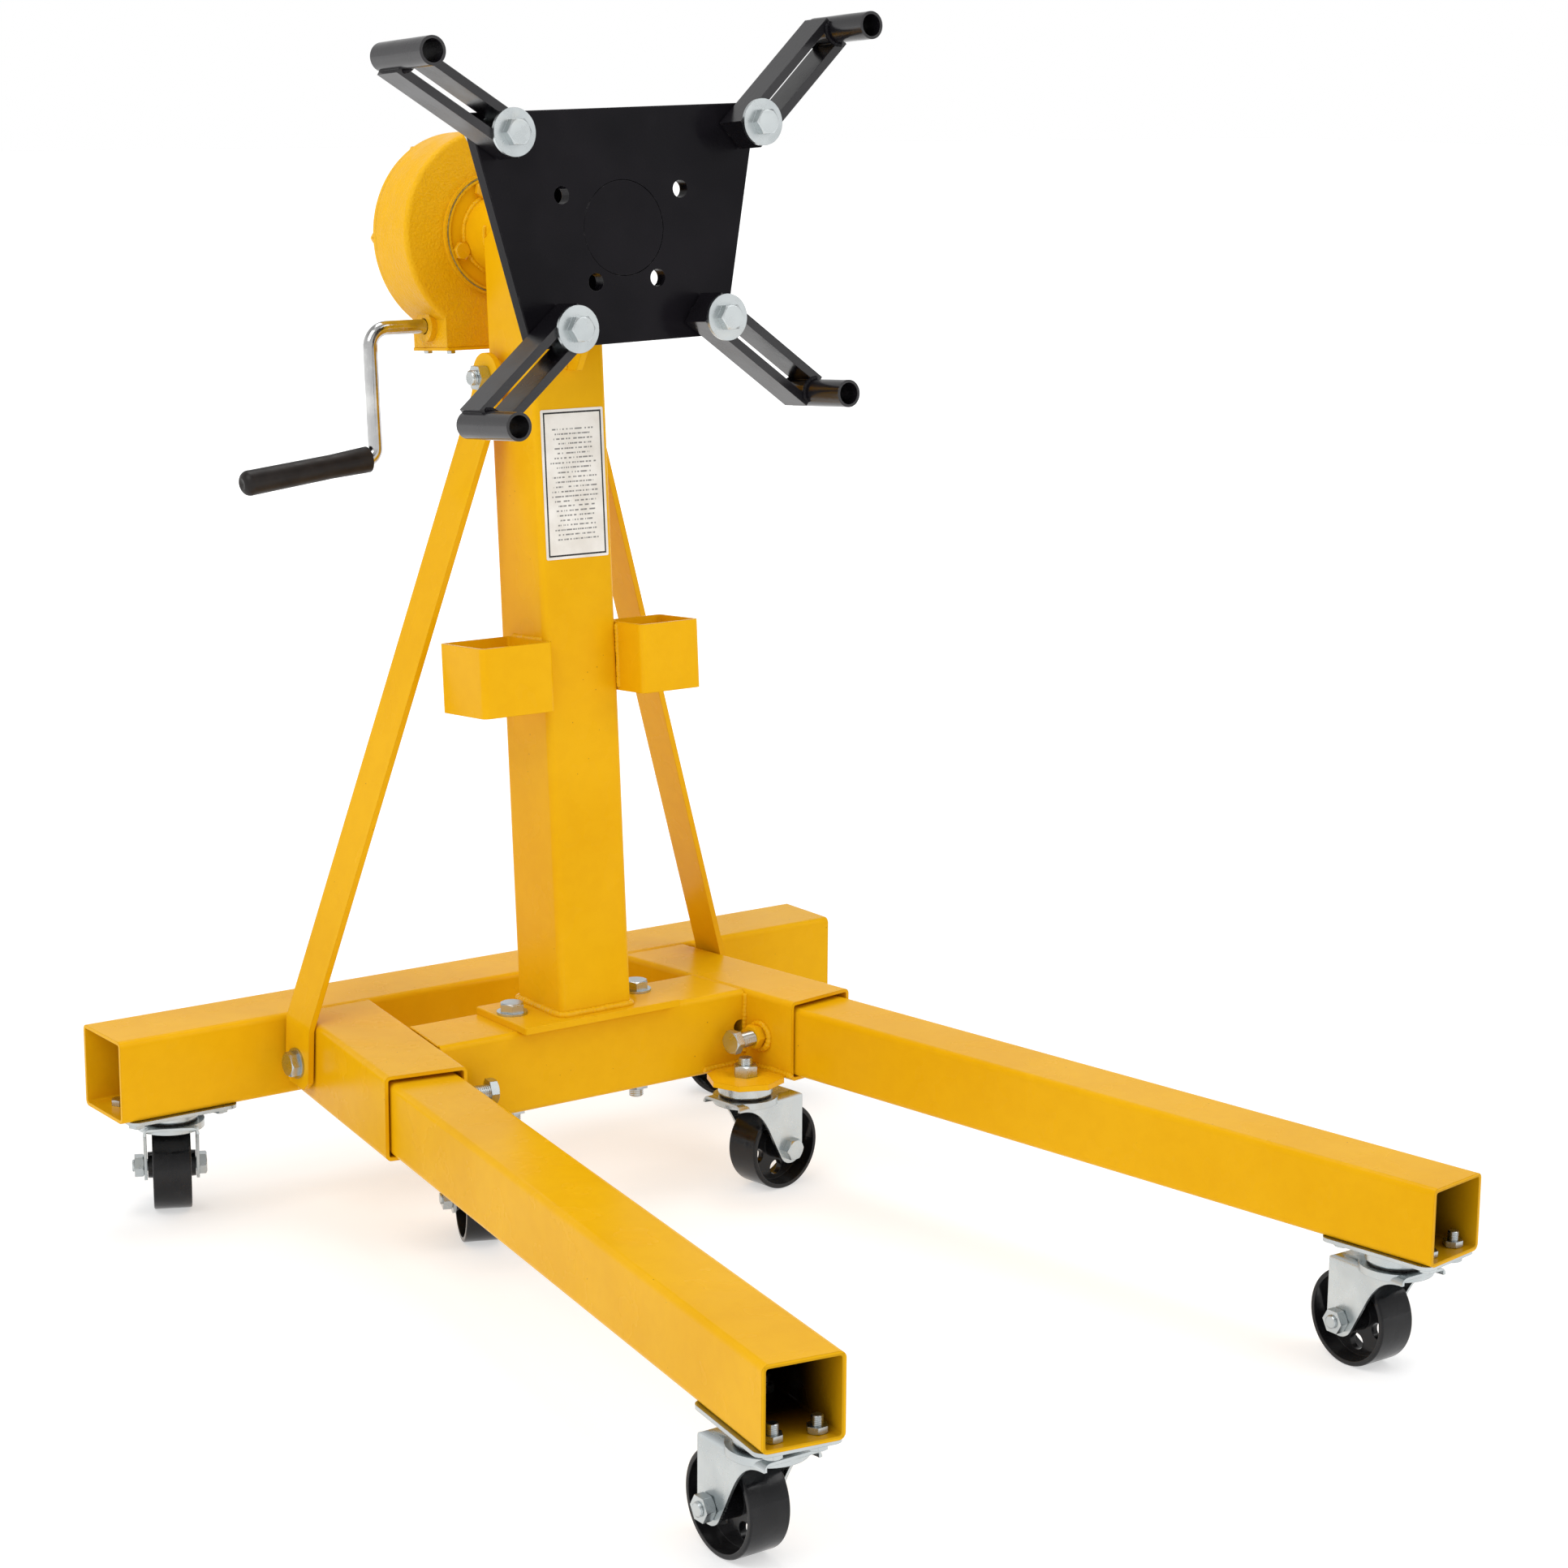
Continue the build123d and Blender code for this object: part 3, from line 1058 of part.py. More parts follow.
def make_fork(plane):
    """Pressed caster fork: a round crown, a shoulder over the wheel and two tapering legs."""
    side = side_plane(plane)
    across = Plane(origin=plane.origin, x_dir=plane.y_dir, z_dir=plane.x_dir)
    inside = FORK_HALF - SHEET
    eye = (TRAIL, WHEEL_RADIUS)
    back_eye = (FORK_BACK, WHEEL_RADIUS)
    back_corner = (FORK_BACK, CROWN_TOP - FORK_SHOULDER[1])
    toe = (-CROWN_R, CROWN_BOTTOM)
    rise = Vector(*FORK_NECK) - Vector(*FORK_HEEL)
    axis = Axis(plane.origin, plane.x_dir)
    with BuildPart() as fork:
        with BuildSketch(across.offset(-CROWN_R)):
            with Locations((0, CROWN_TOP / 2)):
                Rectangle(2 * FORK_HALF, CROWN_TOP)
        extrude(amount=CROWN_R + FORK_BACK)
        fillet(fork.edges().filter_by(axis).group_by(Axis.Z)[-1], FORK_EDGE)
        with BuildSketch(side):
            with BuildLine():
                Polyline(toe, (-CROWN_R, CROWN_TOP), (FORK_SHOULDER[0], CROWN_TOP), back_corner, back_eye)
                ThreePointArc(back_eye, (TRAIL, WHEEL_RADIUS - FORK_EYE), FORK_HEEL)
                Line(FORK_HEEL, FORK_NECK)
                Spline(FORK_NECK, toe, tangents=(rise, (-1, 0)))
            make_face()
        extrude(amount=CROWN_R, both=True, mode=Mode.INTERSECT)
        with BuildSketch(across.offset(-CROWN_R)):
            with Locations((0, (CROWN_TOP - SHEET) / 2)):
                Rectangle(2 * inside, CROWN_TOP - SHEET)
        extrude(amount=CROWN_R + FORK_BACK, mode=Mode.SUBTRACT)
        with BuildSketch(plane.offset(CROWN_BOTTOM)):
            Circle(CROWN_R)
            Circle(CROWN_R - SHEET, mode=Mode.SUBTRACT)
        extrude(amount=CROWN_TOP - CROWN_BOTTOM - SHEET)
        with BuildSketch(plane.offset(CROWN_TOP - SHEET)):
            Circle(CROWN_R)
        extrude(amount=SHEET)
        with BuildSketch(plane.offset(CROWN_TOP)):
            Circle(RACE_R)
        extrude(amount=CUP_GAP - SEAT)
        with BuildSketch(plane.offset(CROWN_TOP - SHEET)):
            Circle(KINGPIN_R + RUNNING)
        extrude(amount=SHEET + CUP_GAP, mode=Mode.SUBTRACT)
        with BuildSketch(side):
            with Locations(eye):
                Circle(AXLE_R)
        extrude(amount=CROWN_R, both=True, mode=Mode.SUBTRACT)
    return fork.part


def make_axle(plane):
    """Axle bolt through the fork with its nut."""
    outer = side_plane(plane, -FORK_HALF)
    seat = Plane(
        origin=outer.from_local_coords((TRAIL, WHEEL_RADIUS, 0)), x_dir=outer.x_dir, z_dir=outer.z_dir
    )
    return group(bolt(seat, M10, 2 * FORK_HALF, stud=M10[3] + AXLE_STUD, nut=True))


def make_wheel(plane, first_hole):
    """Cast wheel: tread, sunk disc with round holes, and a longer hub."""
    side = side_plane(plane)
    centre = side.from_local_coords((TRAIL, WHEEL_RADIUS, 0))
    disc = Plane(origin=centre, x_dir=side.x_dir, z_dir=side.z_dir)
    section = Plane(origin=centre, x_dir=plane.x_dir, z_dir=(0, 0, 1))
    bore = AXLE_R + RUNNING
    rim_r = WHEEL_RADIUS - WHEEL_RIM
    count, hole_r, ring_r = WHEEL_HOLES
    hub_disc, rim_disc = WHEEL_DISC
    with BuildPart() as wheel:
        with BuildSketch(section) as profile:
            Polygon(
                (bore, -HUB_HALF),
                (WHEEL_HUB_R, -HUB_HALF),
                (WHEEL_HUB_R + WHEEL_DRAFT, -hub_disc),
                (rim_r - WHEEL_DRAFT, -rim_disc),
                (rim_r, -WHEEL_HALF),
                (WHEEL_RADIUS, -WHEEL_HALF),
                (WHEEL_RADIUS, WHEEL_HALF),
                (rim_r, WHEEL_HALF),
                (rim_r - WHEEL_DRAFT, rim_disc),
                (WHEEL_HUB_R + WHEEL_DRAFT, hub_disc),
                (WHEEL_HUB_R, HUB_HALF),
                (bore, HUB_HALF),
                align=None,
            )
            fillet(profile.vertices().group_by(Axis.X)[-1], TREAD_EDGE)
        revolve(axis=Axis(centre, plane.y_dir))
        with BuildSketch(disc):
            with PolarLocations(ring_r, count, start_angle=first_hole):
                Circle(hole_r)
        extrude(amount=WHEEL_HALF, both=True, mode=Mode.SUBTRACT)
    return wheel.part


def caster_plane(name):
    """Floor plane of a caster under its swivel axis, with x towards the trailing wheel."""
    place, side_name = name.split("_")
    side = dict(SIDES)[side_name]
    if place == "front":
        x, y = leg_caster_centre(side)
    else:
        x, y = REAR_CASTER if place == "rear" else INNER_CASTER
        x *= side
    heading = radians(HEADINGS[name][0])
    return Plane(origin=(x, y, 0), x_dir=(cos(heading), sin(heading), 0))


# ---------------------------------------------------------------- build
def build_base():
    """Fixed frame, tool pockets, braces and their fasteners."""
    save(make_crossbar(), "rear_crossbar")
    save(make_front_beam(), "front_beam")
    save(group(make_corner_plate(side) for _, side in SIDES), "corner_plates")
    save(make_clamp_nuts(), "clamp_nuts")
    save(make_mast_plate(), "mast_plate")
    save(make_mast(), "mast")
    save(make_frame_bolts(), "frame_bolts")
    save(make_label(), "mast_label")
    for name, sizes in POCKETS.items():
        save(make_pocket(*sizes), name)
    for name, side in SIDES:
        save(make_sleeve(side), f"{name}_sleeve")
        save(make_brace(side), f"{name}_brace")


def build_legs():
    """Telescopic legs with their caster plates, and the clamp screws."""
    for name, side in SIDES:
        save(make_leg(side), f"{name}_leg")
        save(make_leg_caster_plate(side), f"{name}_leg_caster_plate")
        save(make_clamp_bolt(side), f"{name}_clamp_bolt")


def build_casters():
    """Fixed caster tops of the frame, then each fork, axle and wheel."""
    save(make_rear_caster_plates(), "rear_caster_plates")
    save(make_inner_caster_stems(), "inner_caster_stems")
    for name, (_, first_hole) in HEADINGS.items():
        plane = caster_plane(name)
        save(make_fork(plane), f"{name}_fork")
        save(make_axle(plane), f"{name}_axle")
        save(make_wheel(plane, first_hole), f"{name}_wheel")


def build_gearbox():
    """Spindle housing, gearbox shell, covers, screws and bushes."""
    save(make_spindle_housing(), "spindle_housing")
    save(make_gearbox_housing(), "gearbox_housing")
    save(make_gearbox_back_cover(), "gearbox_back_cover")
    save(make_gearbox_bottom_cover(), "gearbox_bottom_cover")
    save(make_gearbox_screws(), "gearbox_screws")
    save(make_gearbox_bushes(), "gearbox_bushes")


def build_head():
    """Spindle, worm wheel, head plate, arms, worm and crank."""
    save(make_spindle(), "spindle")
    save(make_worm_wheel(), "worm_wheel")
    save(make_head_plate(), "head_plate")
    for name, (spot, heading) in ARMS.items():
        save(make_arm_bolt(spot), f"{name}_arm_bolt")
        save(make_arm(spot, heading), f"{name}_arm")
    save(make_worm(), "worm")
    save(make_crank_rod(), "crank_rod")
    save(make_crank_grip(), "crank_grip")


os.makedirs("parts", exist_ok=True)
build_base()
build_legs()
build_casters()
build_gearbox()
build_head()
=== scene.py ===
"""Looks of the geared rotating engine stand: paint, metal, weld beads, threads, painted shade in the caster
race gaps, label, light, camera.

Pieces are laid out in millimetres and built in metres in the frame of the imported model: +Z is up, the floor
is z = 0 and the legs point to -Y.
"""

import json
from math import ceil, cos, pi, radians, sin, sqrt

import bpy
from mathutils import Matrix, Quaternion, Vector, noise


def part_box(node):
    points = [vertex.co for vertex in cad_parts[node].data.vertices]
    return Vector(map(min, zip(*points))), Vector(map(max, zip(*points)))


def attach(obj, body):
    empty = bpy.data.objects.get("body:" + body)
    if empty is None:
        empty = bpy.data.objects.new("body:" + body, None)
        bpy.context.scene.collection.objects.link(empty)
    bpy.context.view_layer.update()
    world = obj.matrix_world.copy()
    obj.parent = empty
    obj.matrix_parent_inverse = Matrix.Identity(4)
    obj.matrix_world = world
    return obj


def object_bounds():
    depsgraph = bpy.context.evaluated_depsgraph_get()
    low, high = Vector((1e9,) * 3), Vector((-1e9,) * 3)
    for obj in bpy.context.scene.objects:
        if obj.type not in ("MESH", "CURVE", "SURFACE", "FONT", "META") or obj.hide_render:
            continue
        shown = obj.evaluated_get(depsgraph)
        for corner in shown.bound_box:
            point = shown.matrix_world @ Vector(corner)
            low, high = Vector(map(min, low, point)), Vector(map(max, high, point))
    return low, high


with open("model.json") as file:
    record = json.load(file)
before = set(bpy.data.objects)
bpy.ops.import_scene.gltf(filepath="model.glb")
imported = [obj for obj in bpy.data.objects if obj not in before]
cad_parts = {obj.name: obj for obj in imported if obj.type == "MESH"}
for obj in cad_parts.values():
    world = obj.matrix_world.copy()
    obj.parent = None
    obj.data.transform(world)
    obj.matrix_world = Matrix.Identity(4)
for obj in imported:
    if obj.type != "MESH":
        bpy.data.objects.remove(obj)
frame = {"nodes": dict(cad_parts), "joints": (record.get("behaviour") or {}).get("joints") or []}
cad_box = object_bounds()

# ---------------------------------------------------------------- sizes in millimetres
MM = 0.001
TUBE, TUBE_CORNER = 70, 5
CROSSBAR_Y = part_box("rear_crossbar")[0].y / MM
TUBE_LOW, TUBE_HIGH = (corner.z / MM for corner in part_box("rear_crossbar"))
BEAM_BACK, BEAM_FRONT = 88, 158       # the beam's faces in front of the crossbar
CORNER_PLATE = 5                      # thickness of the plates under the inner corners
MAST_BOLT_X = 62                      # bolts through the mast's foot plate
SLEEVE_X = 162                        # sleeve centre line at the crossbar
SPINDLE_AT = 643                      # spindle axis above the mast's foot
BRACE_HEAD = (42, -20, 527)           # upper brace bolt: strap's inner face, N and height on the mast
POCKETS = ((-1, -20, 256), (1, 14, 265))   # side, back edge and lower end on the mast
POCKET_HEIGHT = 57
HOUSING_R = 31.9
HOUSING_FRONT = 80                    # front of the fixed tube round the spindle
FLANGE_BACK = -67.4                   # where the tube meets its flange
GROOVE_AT, GROOVE_R = -66.5, 48.3     # joint between the flange and the cast drum
PARTING_AT = -93                      # the casting's parting line, behind the spindle's middle
COVER_SCREWS_BELOW = -92              # screws lower than this hold the bottom cover
PLATE_BACK = 113                      # back face of the head plate
PLATE_WELD_R = 37.6
LEG, LEG_DROP, WALL = 60, 1.5, 3      # leg tube, how low it rests in its sleeve, and every tube's wall
ARM_BACK, ARM_FRONT = 126.2, 155.8    # outer faces of an arm's bars
ARM_REACH, FINGER_R = 108, 11
M12, M10, M8 = 6, 5, 4                # shank radii
NUT_12, NUT_10, NUT_8 = 10, 8, 5
PITCH_12, PITCH_10, PITCH_8 = 1.75, 1.5, 1.25
FORK_HALF = 23                        # half width of a caster's fork
CASTER_BOLTS = (75, 32)               # bolt spacing along and across a caster plate
RACE_GAP_SHADE_R, RACE_GAP_SHADE_LIFT = 21.2, 0.9         # black ring of painted shade in each caster's race gap, and its height above the swivel's anchor
CLAMP_SCREW, CLAMP_HEAD = 31.2, 7.5   # length under the head, and the head's thickness
CASTER_NAMES = [f"{place}_{side}" for place in ("rear", "inner", "front") for side in ("left", "right")]
ARM_NAMES = [f"{level}_{side}" for level in ("upper", "lower") for side in ("left", "right")]
SIDES = (("left", -1), ("right", 1))


class Place:
    """A working plane in millimetres: an origin with x, y and z directions."""

    def __init__(self, origin, x, z):
        self.origin, self.x, self.z = Vector(origin), Vector(x).normalized(), Vector(z).normalized()
        self.y = self.z.cross(self.x)

    def at(self, x=0.0, y=0.0, z=0.0):
        """The point with these local coordinates."""
        return self.origin + self.x * x + self.y * y + self.z * z


JOINTS = {joint["name"]: joint for joint in frame["joints"]}


def joint_at(name):
    """Anchor of a joint in millimetres."""
    return Vector(JOINTS[name]["pos_m"]) / MM


def joint_axis(name):
    """Direction of a joint's axis."""
    return Vector(JOINTS[name]["axis"]).normalized()


TO_FRONT = joint_axis("head_spin")
RIGHT = Vector((1, 0, 0))
UP_MAST = TO_FRONT.cross(RIGHT)
SPINDLE = Place(joint_at("head_spin"), RIGHT, TO_FRONT)
HEAD = Place(SPINDLE.origin, joint_at("upper_right_pivot") - joint_at("upper_left_pivot"), TO_FRONT)
MAST = Place(SPINDLE.origin - UP_MAST * SPINDLE_AT, RIGHT, UP_MAST)


def on_mast(x, n, u):
    """The point x to the right, n in front and u up on the mast."""
    return MAST.at(x, -n, u)


def leg_place(name, side):
    """Across a sleeve at the crossbar: z points out along the leg and x to the right."""
    out = joint_axis(f"{name}_leg_slide")
    middle = (TUBE_LOW + TUBE_HIGH) / 2
    return Place((side * SLEEVE_X, CROSSBAR_Y, middle), Vector((-out.y, out.x, 0)), out)


# ---------------------------------------------------------------- materials
class Surface:
    """A Principled material with short calls for the nodes that feed it."""

    def __init__(self, name, **settings):
        self.material = bpy.data.materials.new(name)
        self.material.use_nodes = True
        self.tree = self.material.node_tree
        self.shader = self.tree.nodes["Principled BSDF"]
        for socket, value in settings.items():
            self.shader.inputs[socket.replace("_", " ").title().replace("Ior", "IOR")].default_value = value
        self.position = self.node("ShaderNodeTexCoord").outputs["Object"]

    def node(self, kind, **settings):
        """A node with these properties set."""
        made = self.tree.nodes.new(kind)
        for name, value in settings.items():
            setattr(made, name, value)
        return made

    def feed(self, socket, value):
        """Links an output to a socket, or sets the socket to a number or colour."""
        if isinstance(value, bpy.types.NodeSocket):
            self.tree.links.new(value, socket)
        else:
            socket.default_value = value

    def drive(self, name, value):
        """Feeds one of the shader's own sockets."""
        self.feed(self.shader.inputs[name], value)

    def noise(self, scale, detail=2.0, roughness=0.5, stretch=None, distortion=0.0):
        """Noise from 0 to 1 with about scale grains a metre, drawn out along the axes of stretch."""
        texture = self.node("ShaderNodeTexNoise")
        texture.inputs["Scale"].default_value = scale
        texture.inputs["Detail"].default_value = detail
        texture.inputs["Roughness"].default_value = roughness
        texture.inputs["Distortion"].default_value = distortion
        place = self.position
        if stretch:
            mapping = self.node("ShaderNodeMapping")
            mapping.inputs["Scale"].default_value = stretch
            self.feed(mapping.inputs["Vector"], place)
            place = mapping.outputs["Vector"]
        self.feed(texture.inputs["Vector"], place)
        return texture.outputs["Fac"]

    def cells(self, scale, feature="F1"):
        """Distance to the nearest of about scale scattered points a metre."""
        texture = self.node("ShaderNodeTexVoronoi", feature=feature)
        texture.inputs["Scale"].default_value = scale
        self.feed(texture.inputs["Vector"], self.position)
        return texture.outputs["Distance"]

    def math(self, operation, a, b=0.0, clamp=False):
        """One arithmetic step."""
        step = self.node("ShaderNodeMath", operation=operation, use_clamp=clamp)
        self.feed(step.inputs[0], a)
        self.feed(step.inputs[1], b)
        return step.outputs[0]

    def span(self, value, low, high, to_low=0.0, to_high=1.0, smooth=True):
        """Maps value from low..high to to_low..to_high, held at the ends."""
        kind = "SMOOTHSTEP" if smooth else "LINEAR"
        step = self.node("ShaderNodeMapRange", interpolation_type=kind)
        ends = (("From Min", low), ("From Max", high), ("To Min", to_low), ("To Max", to_high))
        for name, number in ends:
            step.inputs[name].default_value = number
        self.feed(step.inputs["Value"], value)
        return step.outputs["Result"]

    def blend(self, factor, a, b):
        """Colour a where factor is 0 and b where it is 1."""
        step = self.node("ShaderNodeMix", data_type="RGBA")
        self.feed(step.inputs["Factor"], factor)
        self.feed(step.inputs["A"], a)
        self.feed(step.inputs["B"], b)
        return step.outputs["Result"]

    def along(self, direction, origin=(0, 0, 0)):
        """Distance from a point along a direction, in metres."""
        step = self.node("ShaderNodeVectorMath", operation="DOT_PRODUCT")
        self.feed(step.inputs[0], self.position)
        step.inputs[1].default_value = Vector(direction)
        return self.math("SUBTRACT", step.outputs["Value"], Vector(origin).dot(Vector(direction)))

    def round_edges(self, radius):
        """Normal with edges rounded to a radius in millimetres."""
        bevel = self.node("ShaderNodeBevel", samples=4)
        bevel.inputs["Radius"].default_value = radius * MM
        return bevel.outputs["Normal"]

    def edge(self, radius):
        """1 on sharp edges, falling to 0 within a radius in millimetres."""
        geometry = self.node("ShaderNodeNewGeometry")
        step = self.node("ShaderNodeVectorMath", operation="DOT_PRODUCT")
        self.feed(step.inputs[0], self.round_edges(radius))
        self.feed(step.inputs[1], geometry.outputs["Normal"])
        return self.span(step.outputs["Value"], 0.995, 0.8)

    def bump(self, height, depth, strength=1.0, normal=None):
        """Relief of a height from 0 to 1 over a depth in millimetres, as a normal."""
        step = self.node("ShaderNodeBump")
        step.inputs["Strength"].default_value = strength
        step.inputs["Distance"].default_value = depth * MM
        self.feed(step.inputs["Height"], height)
        if normal is not None:
            self.feed(step.inputs["Normal"], normal)
        return step.outputs["Normal"]


def rgb(red, green, blue):
    """Colour with full alpha."""
    return (red, green, blue, 1.0)


YELLOW = rgb(0.75, 0.385, 0.002)
YELLOW_DEEP = rgb(0.64, 0.29, 0.001)
YELLOW_LIGHT = rgb(0.79, 0.42, 0.005)
TUBE_BORE_SHADE = rgb(0.010, 0.004, 0.001)     # painted shade deep in a tube's bore: a near-black of the yellow
LEG_SHADE_DEPTHS = (-0.025, 0.06)             # depths in metres where the painted shade inside a leg starts and is full
# depths in metres where the painted shade inside the crossbar starts and is full
CROSSBAR_SHADE_DEPTHS = (0.03, 0.16)
BLACK, BLACK_SOFT = rgb(0.005, 0.0045, 0.006), rgb(0.008, 0.007, 0.009)


def paint_yellow(surface):
    """Base colour of the yellow paint: slow shade changes, deeper on edges, with a few dark specks."""
    cloud = surface.span(surface.noise(7, 3), 0.35, 0.65)
    mottle = surface.span(surface.noise(70, 4, 0.6), 0.4, 0.62, 0, 0.1)
    colour = surface.blend(cloud, YELLOW, YELLOW_LIGHT)
    colour = surface.blend(mottle, colour, YELLOW_DEEP)
    colour = surface.blend(surface.math("MULTIPLY", surface.edge(1.2), 0.45), colour, YELLOW_DEEP)
    spots = surface.span(surface.cells(90), 0.05, 0.03)
    specks = surface.math("MULTIPLY", spots, surface.span(surface.noise(14, 2), 0.52, 0.6))
    return surface.blend(specks, colour, rgb(0.20, 0.09, 0.01))


def yellow_coat(name="yellow_coat", shade_depth=None):
    """Golden-yellow powder coat with orange peel. The optional depth function gives how deep in a tube a
    point is, 0 to 1, and mixes painted shade into the paint there.
    """
    surface = Surface(name, specular_ior_level=0.06)
    colour = paint_yellow(surface)
    # painted shade: the paint goes to a near-black deeper in a tube's bore
    if shade_depth:
        colour = surface.blend(shade_depth(surface), colour, TUBE_BORE_SHADE)
    surface.drive("Base Color", colour)
    peel = surface.noise(380, 2, 0.4)
    grain = surface.noise(900, 2, 0.5)
    rough = surface.span(surface.noise(24, 3), 0.3, 0.7, 0.22, 0.3, smooth=False)
    surface.drive("Roughness", rough)
    relief = surface.bump(peel, 0.05, 0.35, surface.round_edges(0.7))
    surface.drive("Normal", surface.bump(grain, 0.02, 0.4, relief))
    return surface.material


def tube_shade_mask(surface, across, height, depth, half, reach):
    """1 deep in a square tube's bore, falling to 0 over reach near its mouth, and 0 on its outer faces: the
    mask of the painted shade in the bore.
    """
    bore = (half - WALL / 2) * MM
    beside = surface.math("LESS_THAN", surface.math("ABSOLUTE", across), bore)
    level = surface.math("LESS_THAN", surface.math("ABSOLUTE", height), bore)
    in_bore = surface.math("MULTIPLY", beside, level)
    return surface.math("MULTIPLY", in_bore, surface.span(depth, *reach))


def crossbar_shade_depth(surface):
    """How deep in the crossbar a point is, for the painted shade in its bore."""
    middle = Vector((0, CROSSBAR_Y + TUBE / 2, (TUBE_LOW + TUBE_HIGH) / 2)) * MM
    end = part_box("rear_crossbar")[1].x
    depth = surface.math("SUBTRACT", end, surface.math("ABSOLUTE", surface.along((1, 0, 0))))
    across, height = surface.along((0, 1, 0), middle), surface.along((0, 0, 1), middle)
    return tube_shade_mask(surface, across, height, depth, TUBE / 2, CROSSBAR_SHADE_DEPTHS)


def leg_shade_depth(name, side):
    """Function that gives how deep in a leg a point is, for the painted shade in its bore."""
    place = leg_place(name, side)
    low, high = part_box(f"{name}_leg")
    tip = (low.y + LEG / 2 * MM * abs(place.x.y)) / place.z.y - place.origin.y * MM / place.z.y

    def depth(surface):
        origin = (place.origin - Vector((0, 0, LEG_DROP))) * MM
        inward = surface.math("SUBTRACT", tip, surface.along(place.z, origin))
        across, height = surface.along(place.x, origin), surface.along((0, 0, 1), origin)
        return tube_shade_mask(surface, across, height, inward, LEG / 2, LEG_SHADE_DEPTHS)

    return depth


def weld_paint():
    """The same paint over weld beads, thicker and glossier."""
    surface = Surface("weld_paint", specular_ior_level=0.15)
    surface.drive("Base Color", paint_yellow(surface))
    surface.drive("Roughness", surface.span(surface.noise(120, 3), 0.3, 0.7, 0.14, 0.3))
    surface.drive("Normal", surface.bump(surface.noise(700, 3, 0.6), 0.25, 0.6))
    return surface.material


def yellow_casting():
    """Painted sand casting: coarse grains, pits and a parting line round the drum."""
    surface = Surface("yellow_casting", specular_ior_level=0.12)
    surface.drive("Base Color", paint_yellow(surface))
    surface.drive("Roughness", surface.span(surface.noise(60, 3), 0.3, 0.7, 0.28, 0.46))
    lumps = surface.span(surface.noise(420, 3, 0.55), 0.3, 0.75)
    pits = surface.span(surface.cells(160), 0.0, 0.28)
    off_line = surface.math("ABSOLUTE", surface.along(TO_FRONT, SPINDLE.at(z=PARTING_AT) * MM))
    line = surface.span(off_line, 0.0009, 0.0003)
    relief = surface.bump(lumps, 0.5, 0.8, surface.round_edges(1.4))
    relief = surface.bump(pits, 0.25, 0.4, relief)
    surface.drive("Normal", surface.bump(line, 0.25, 0.6, relief))
    return surface.material


def paint_black(surface):
    """Base colour of the black paint, with faint pale wear on the edges."""
    cloud = surface.span(surface.noise(12, 3), 0.35, 0.65)
    colour = surface.blend(cloud, BLACK, BLACK_SOFT)
    worn = surface.math("MULTIPLY", surface.edge(0.7), surface.span(surface.noise(160, 4, 0.7), 0.5, 0.72))
    return surface.blend(surface.math("MULTIPLY", worn, 0.55), colour, rgb(0.16, 0.15, 0.15))


def black_coat(name, gloss):
    """Glossy black powder coat."""
    surface = Surface(name, specular_ior_level=gloss)
    surface.drive("Base Color", paint_black(surface))
    surface.drive("Roughness", surface.span(surface.noise(30, 3), 0.3, 0.7, 0.16, 0.28))
    relief = surface.bump(surface.noise(300, 2, 0.4), 0.12, 0.45, surface.round_edges(0.6))
    surface.drive("Normal", surface.bump(surface.noise(1100, 2), 0.02, 0.4, relief))
    return surface.material


def zinc_colour(surface):
    """Colour of clear zinc plating: blue-white with faint straw patches."""
    cloud = surface.span(surface.noise(26, 3, 0.5), 0.3, 0.7)
    straw = surface.span(surface.noise(28, 3, 0.5, distortion=0.6), 0.56, 0.72, 0, 0.3)
    colour = surface.blend(cloud, rgb(0.47, 0.505, 0.515), rgb(0.56, 0.595, 0.60))
    colour = surface.blend(straw, colour, rgb(0.58, 0.57, 0.52))
    return surface.blend(surface.math("MULTIPLY", surface.edge(0.9), 0.6), colour, rgb(0.26, 0.28, 0.29))


def zinc():
    """Bright zinc-plated pressings and fasteners."""
    surface = Surface("zinc", metallic=1.0)
    surface.drive("Base Color", zinc_colour(surface))
    surface.drive("Roughness", surface.span(surface.noise(90, 3, 0.5), 0.3, 0.7, 0.24, 0.34))
    relief = surface.bump(surface.noise(300, 2, 0.5), 0.03, 0.25, surface.round_edges(0.5))
    surface.drive("Normal", relief)
    return surface.material


def gearbox_screw_finish():
    """Zinc on the bottom cover's screws, and the gearbox's paint on the bolts above them."""
    surface = Surface("gearbox_screw_finish")
    height = surface.along(UP_MAST, SPINDLE.at(y=COVER_SCREWS_BELOW) * MM)
    low = surface.span(height, 0.0002, -0.0002)
    surface.drive("Base Color", surface.blend(low, paint_yellow(surface), zinc_colour(surface)))
    surface.drive("Metallic", low)
    surface.drive("Roughness", surface.span(surface.noise(150, 3), 0.3, 0.7, 0.2, 0.36))
    surface.drive("Normal", surface.bump(surface.noise(500, 3), 0.12, 0.5, surface.round_edges(0.5)))
    return surface.material


def spindle_finish():
    """Black paint on the spindle's end in the head plate, turned steel behind it."""
    surface = Surface("spindle_finish", specular_ior_level=0.09)
    depth = surface.along(TO_FRONT, SPINDLE.at(z=HOUSING_FRONT) * MM)
    front = surface.span(depth, -0.0003, 0.0003)
    cloud = surface.span(surface.noise(80, 3), 0.35, 0.65)
    steel = surface.blend(cloud, rgb(0.36, 0.36, 0.37), rgb(0.5, 0.5, 0.5))
    surface.drive("Base Color", surface.blend(front, steel, paint_black(surface)))
    surface.drive("Metallic", surface.math("SUBTRACT", 1.0, front))
    surface.drive("Roughness", surface.span(surface.noise(30, 3), 0.3, 0.7, 0.16, 0.28))
    surface.drive("Normal", surface.bump(surface.noise(300, 2, 0.4), 0.12, 0.45, surface.round_edges(0.6)))
    return surface.material


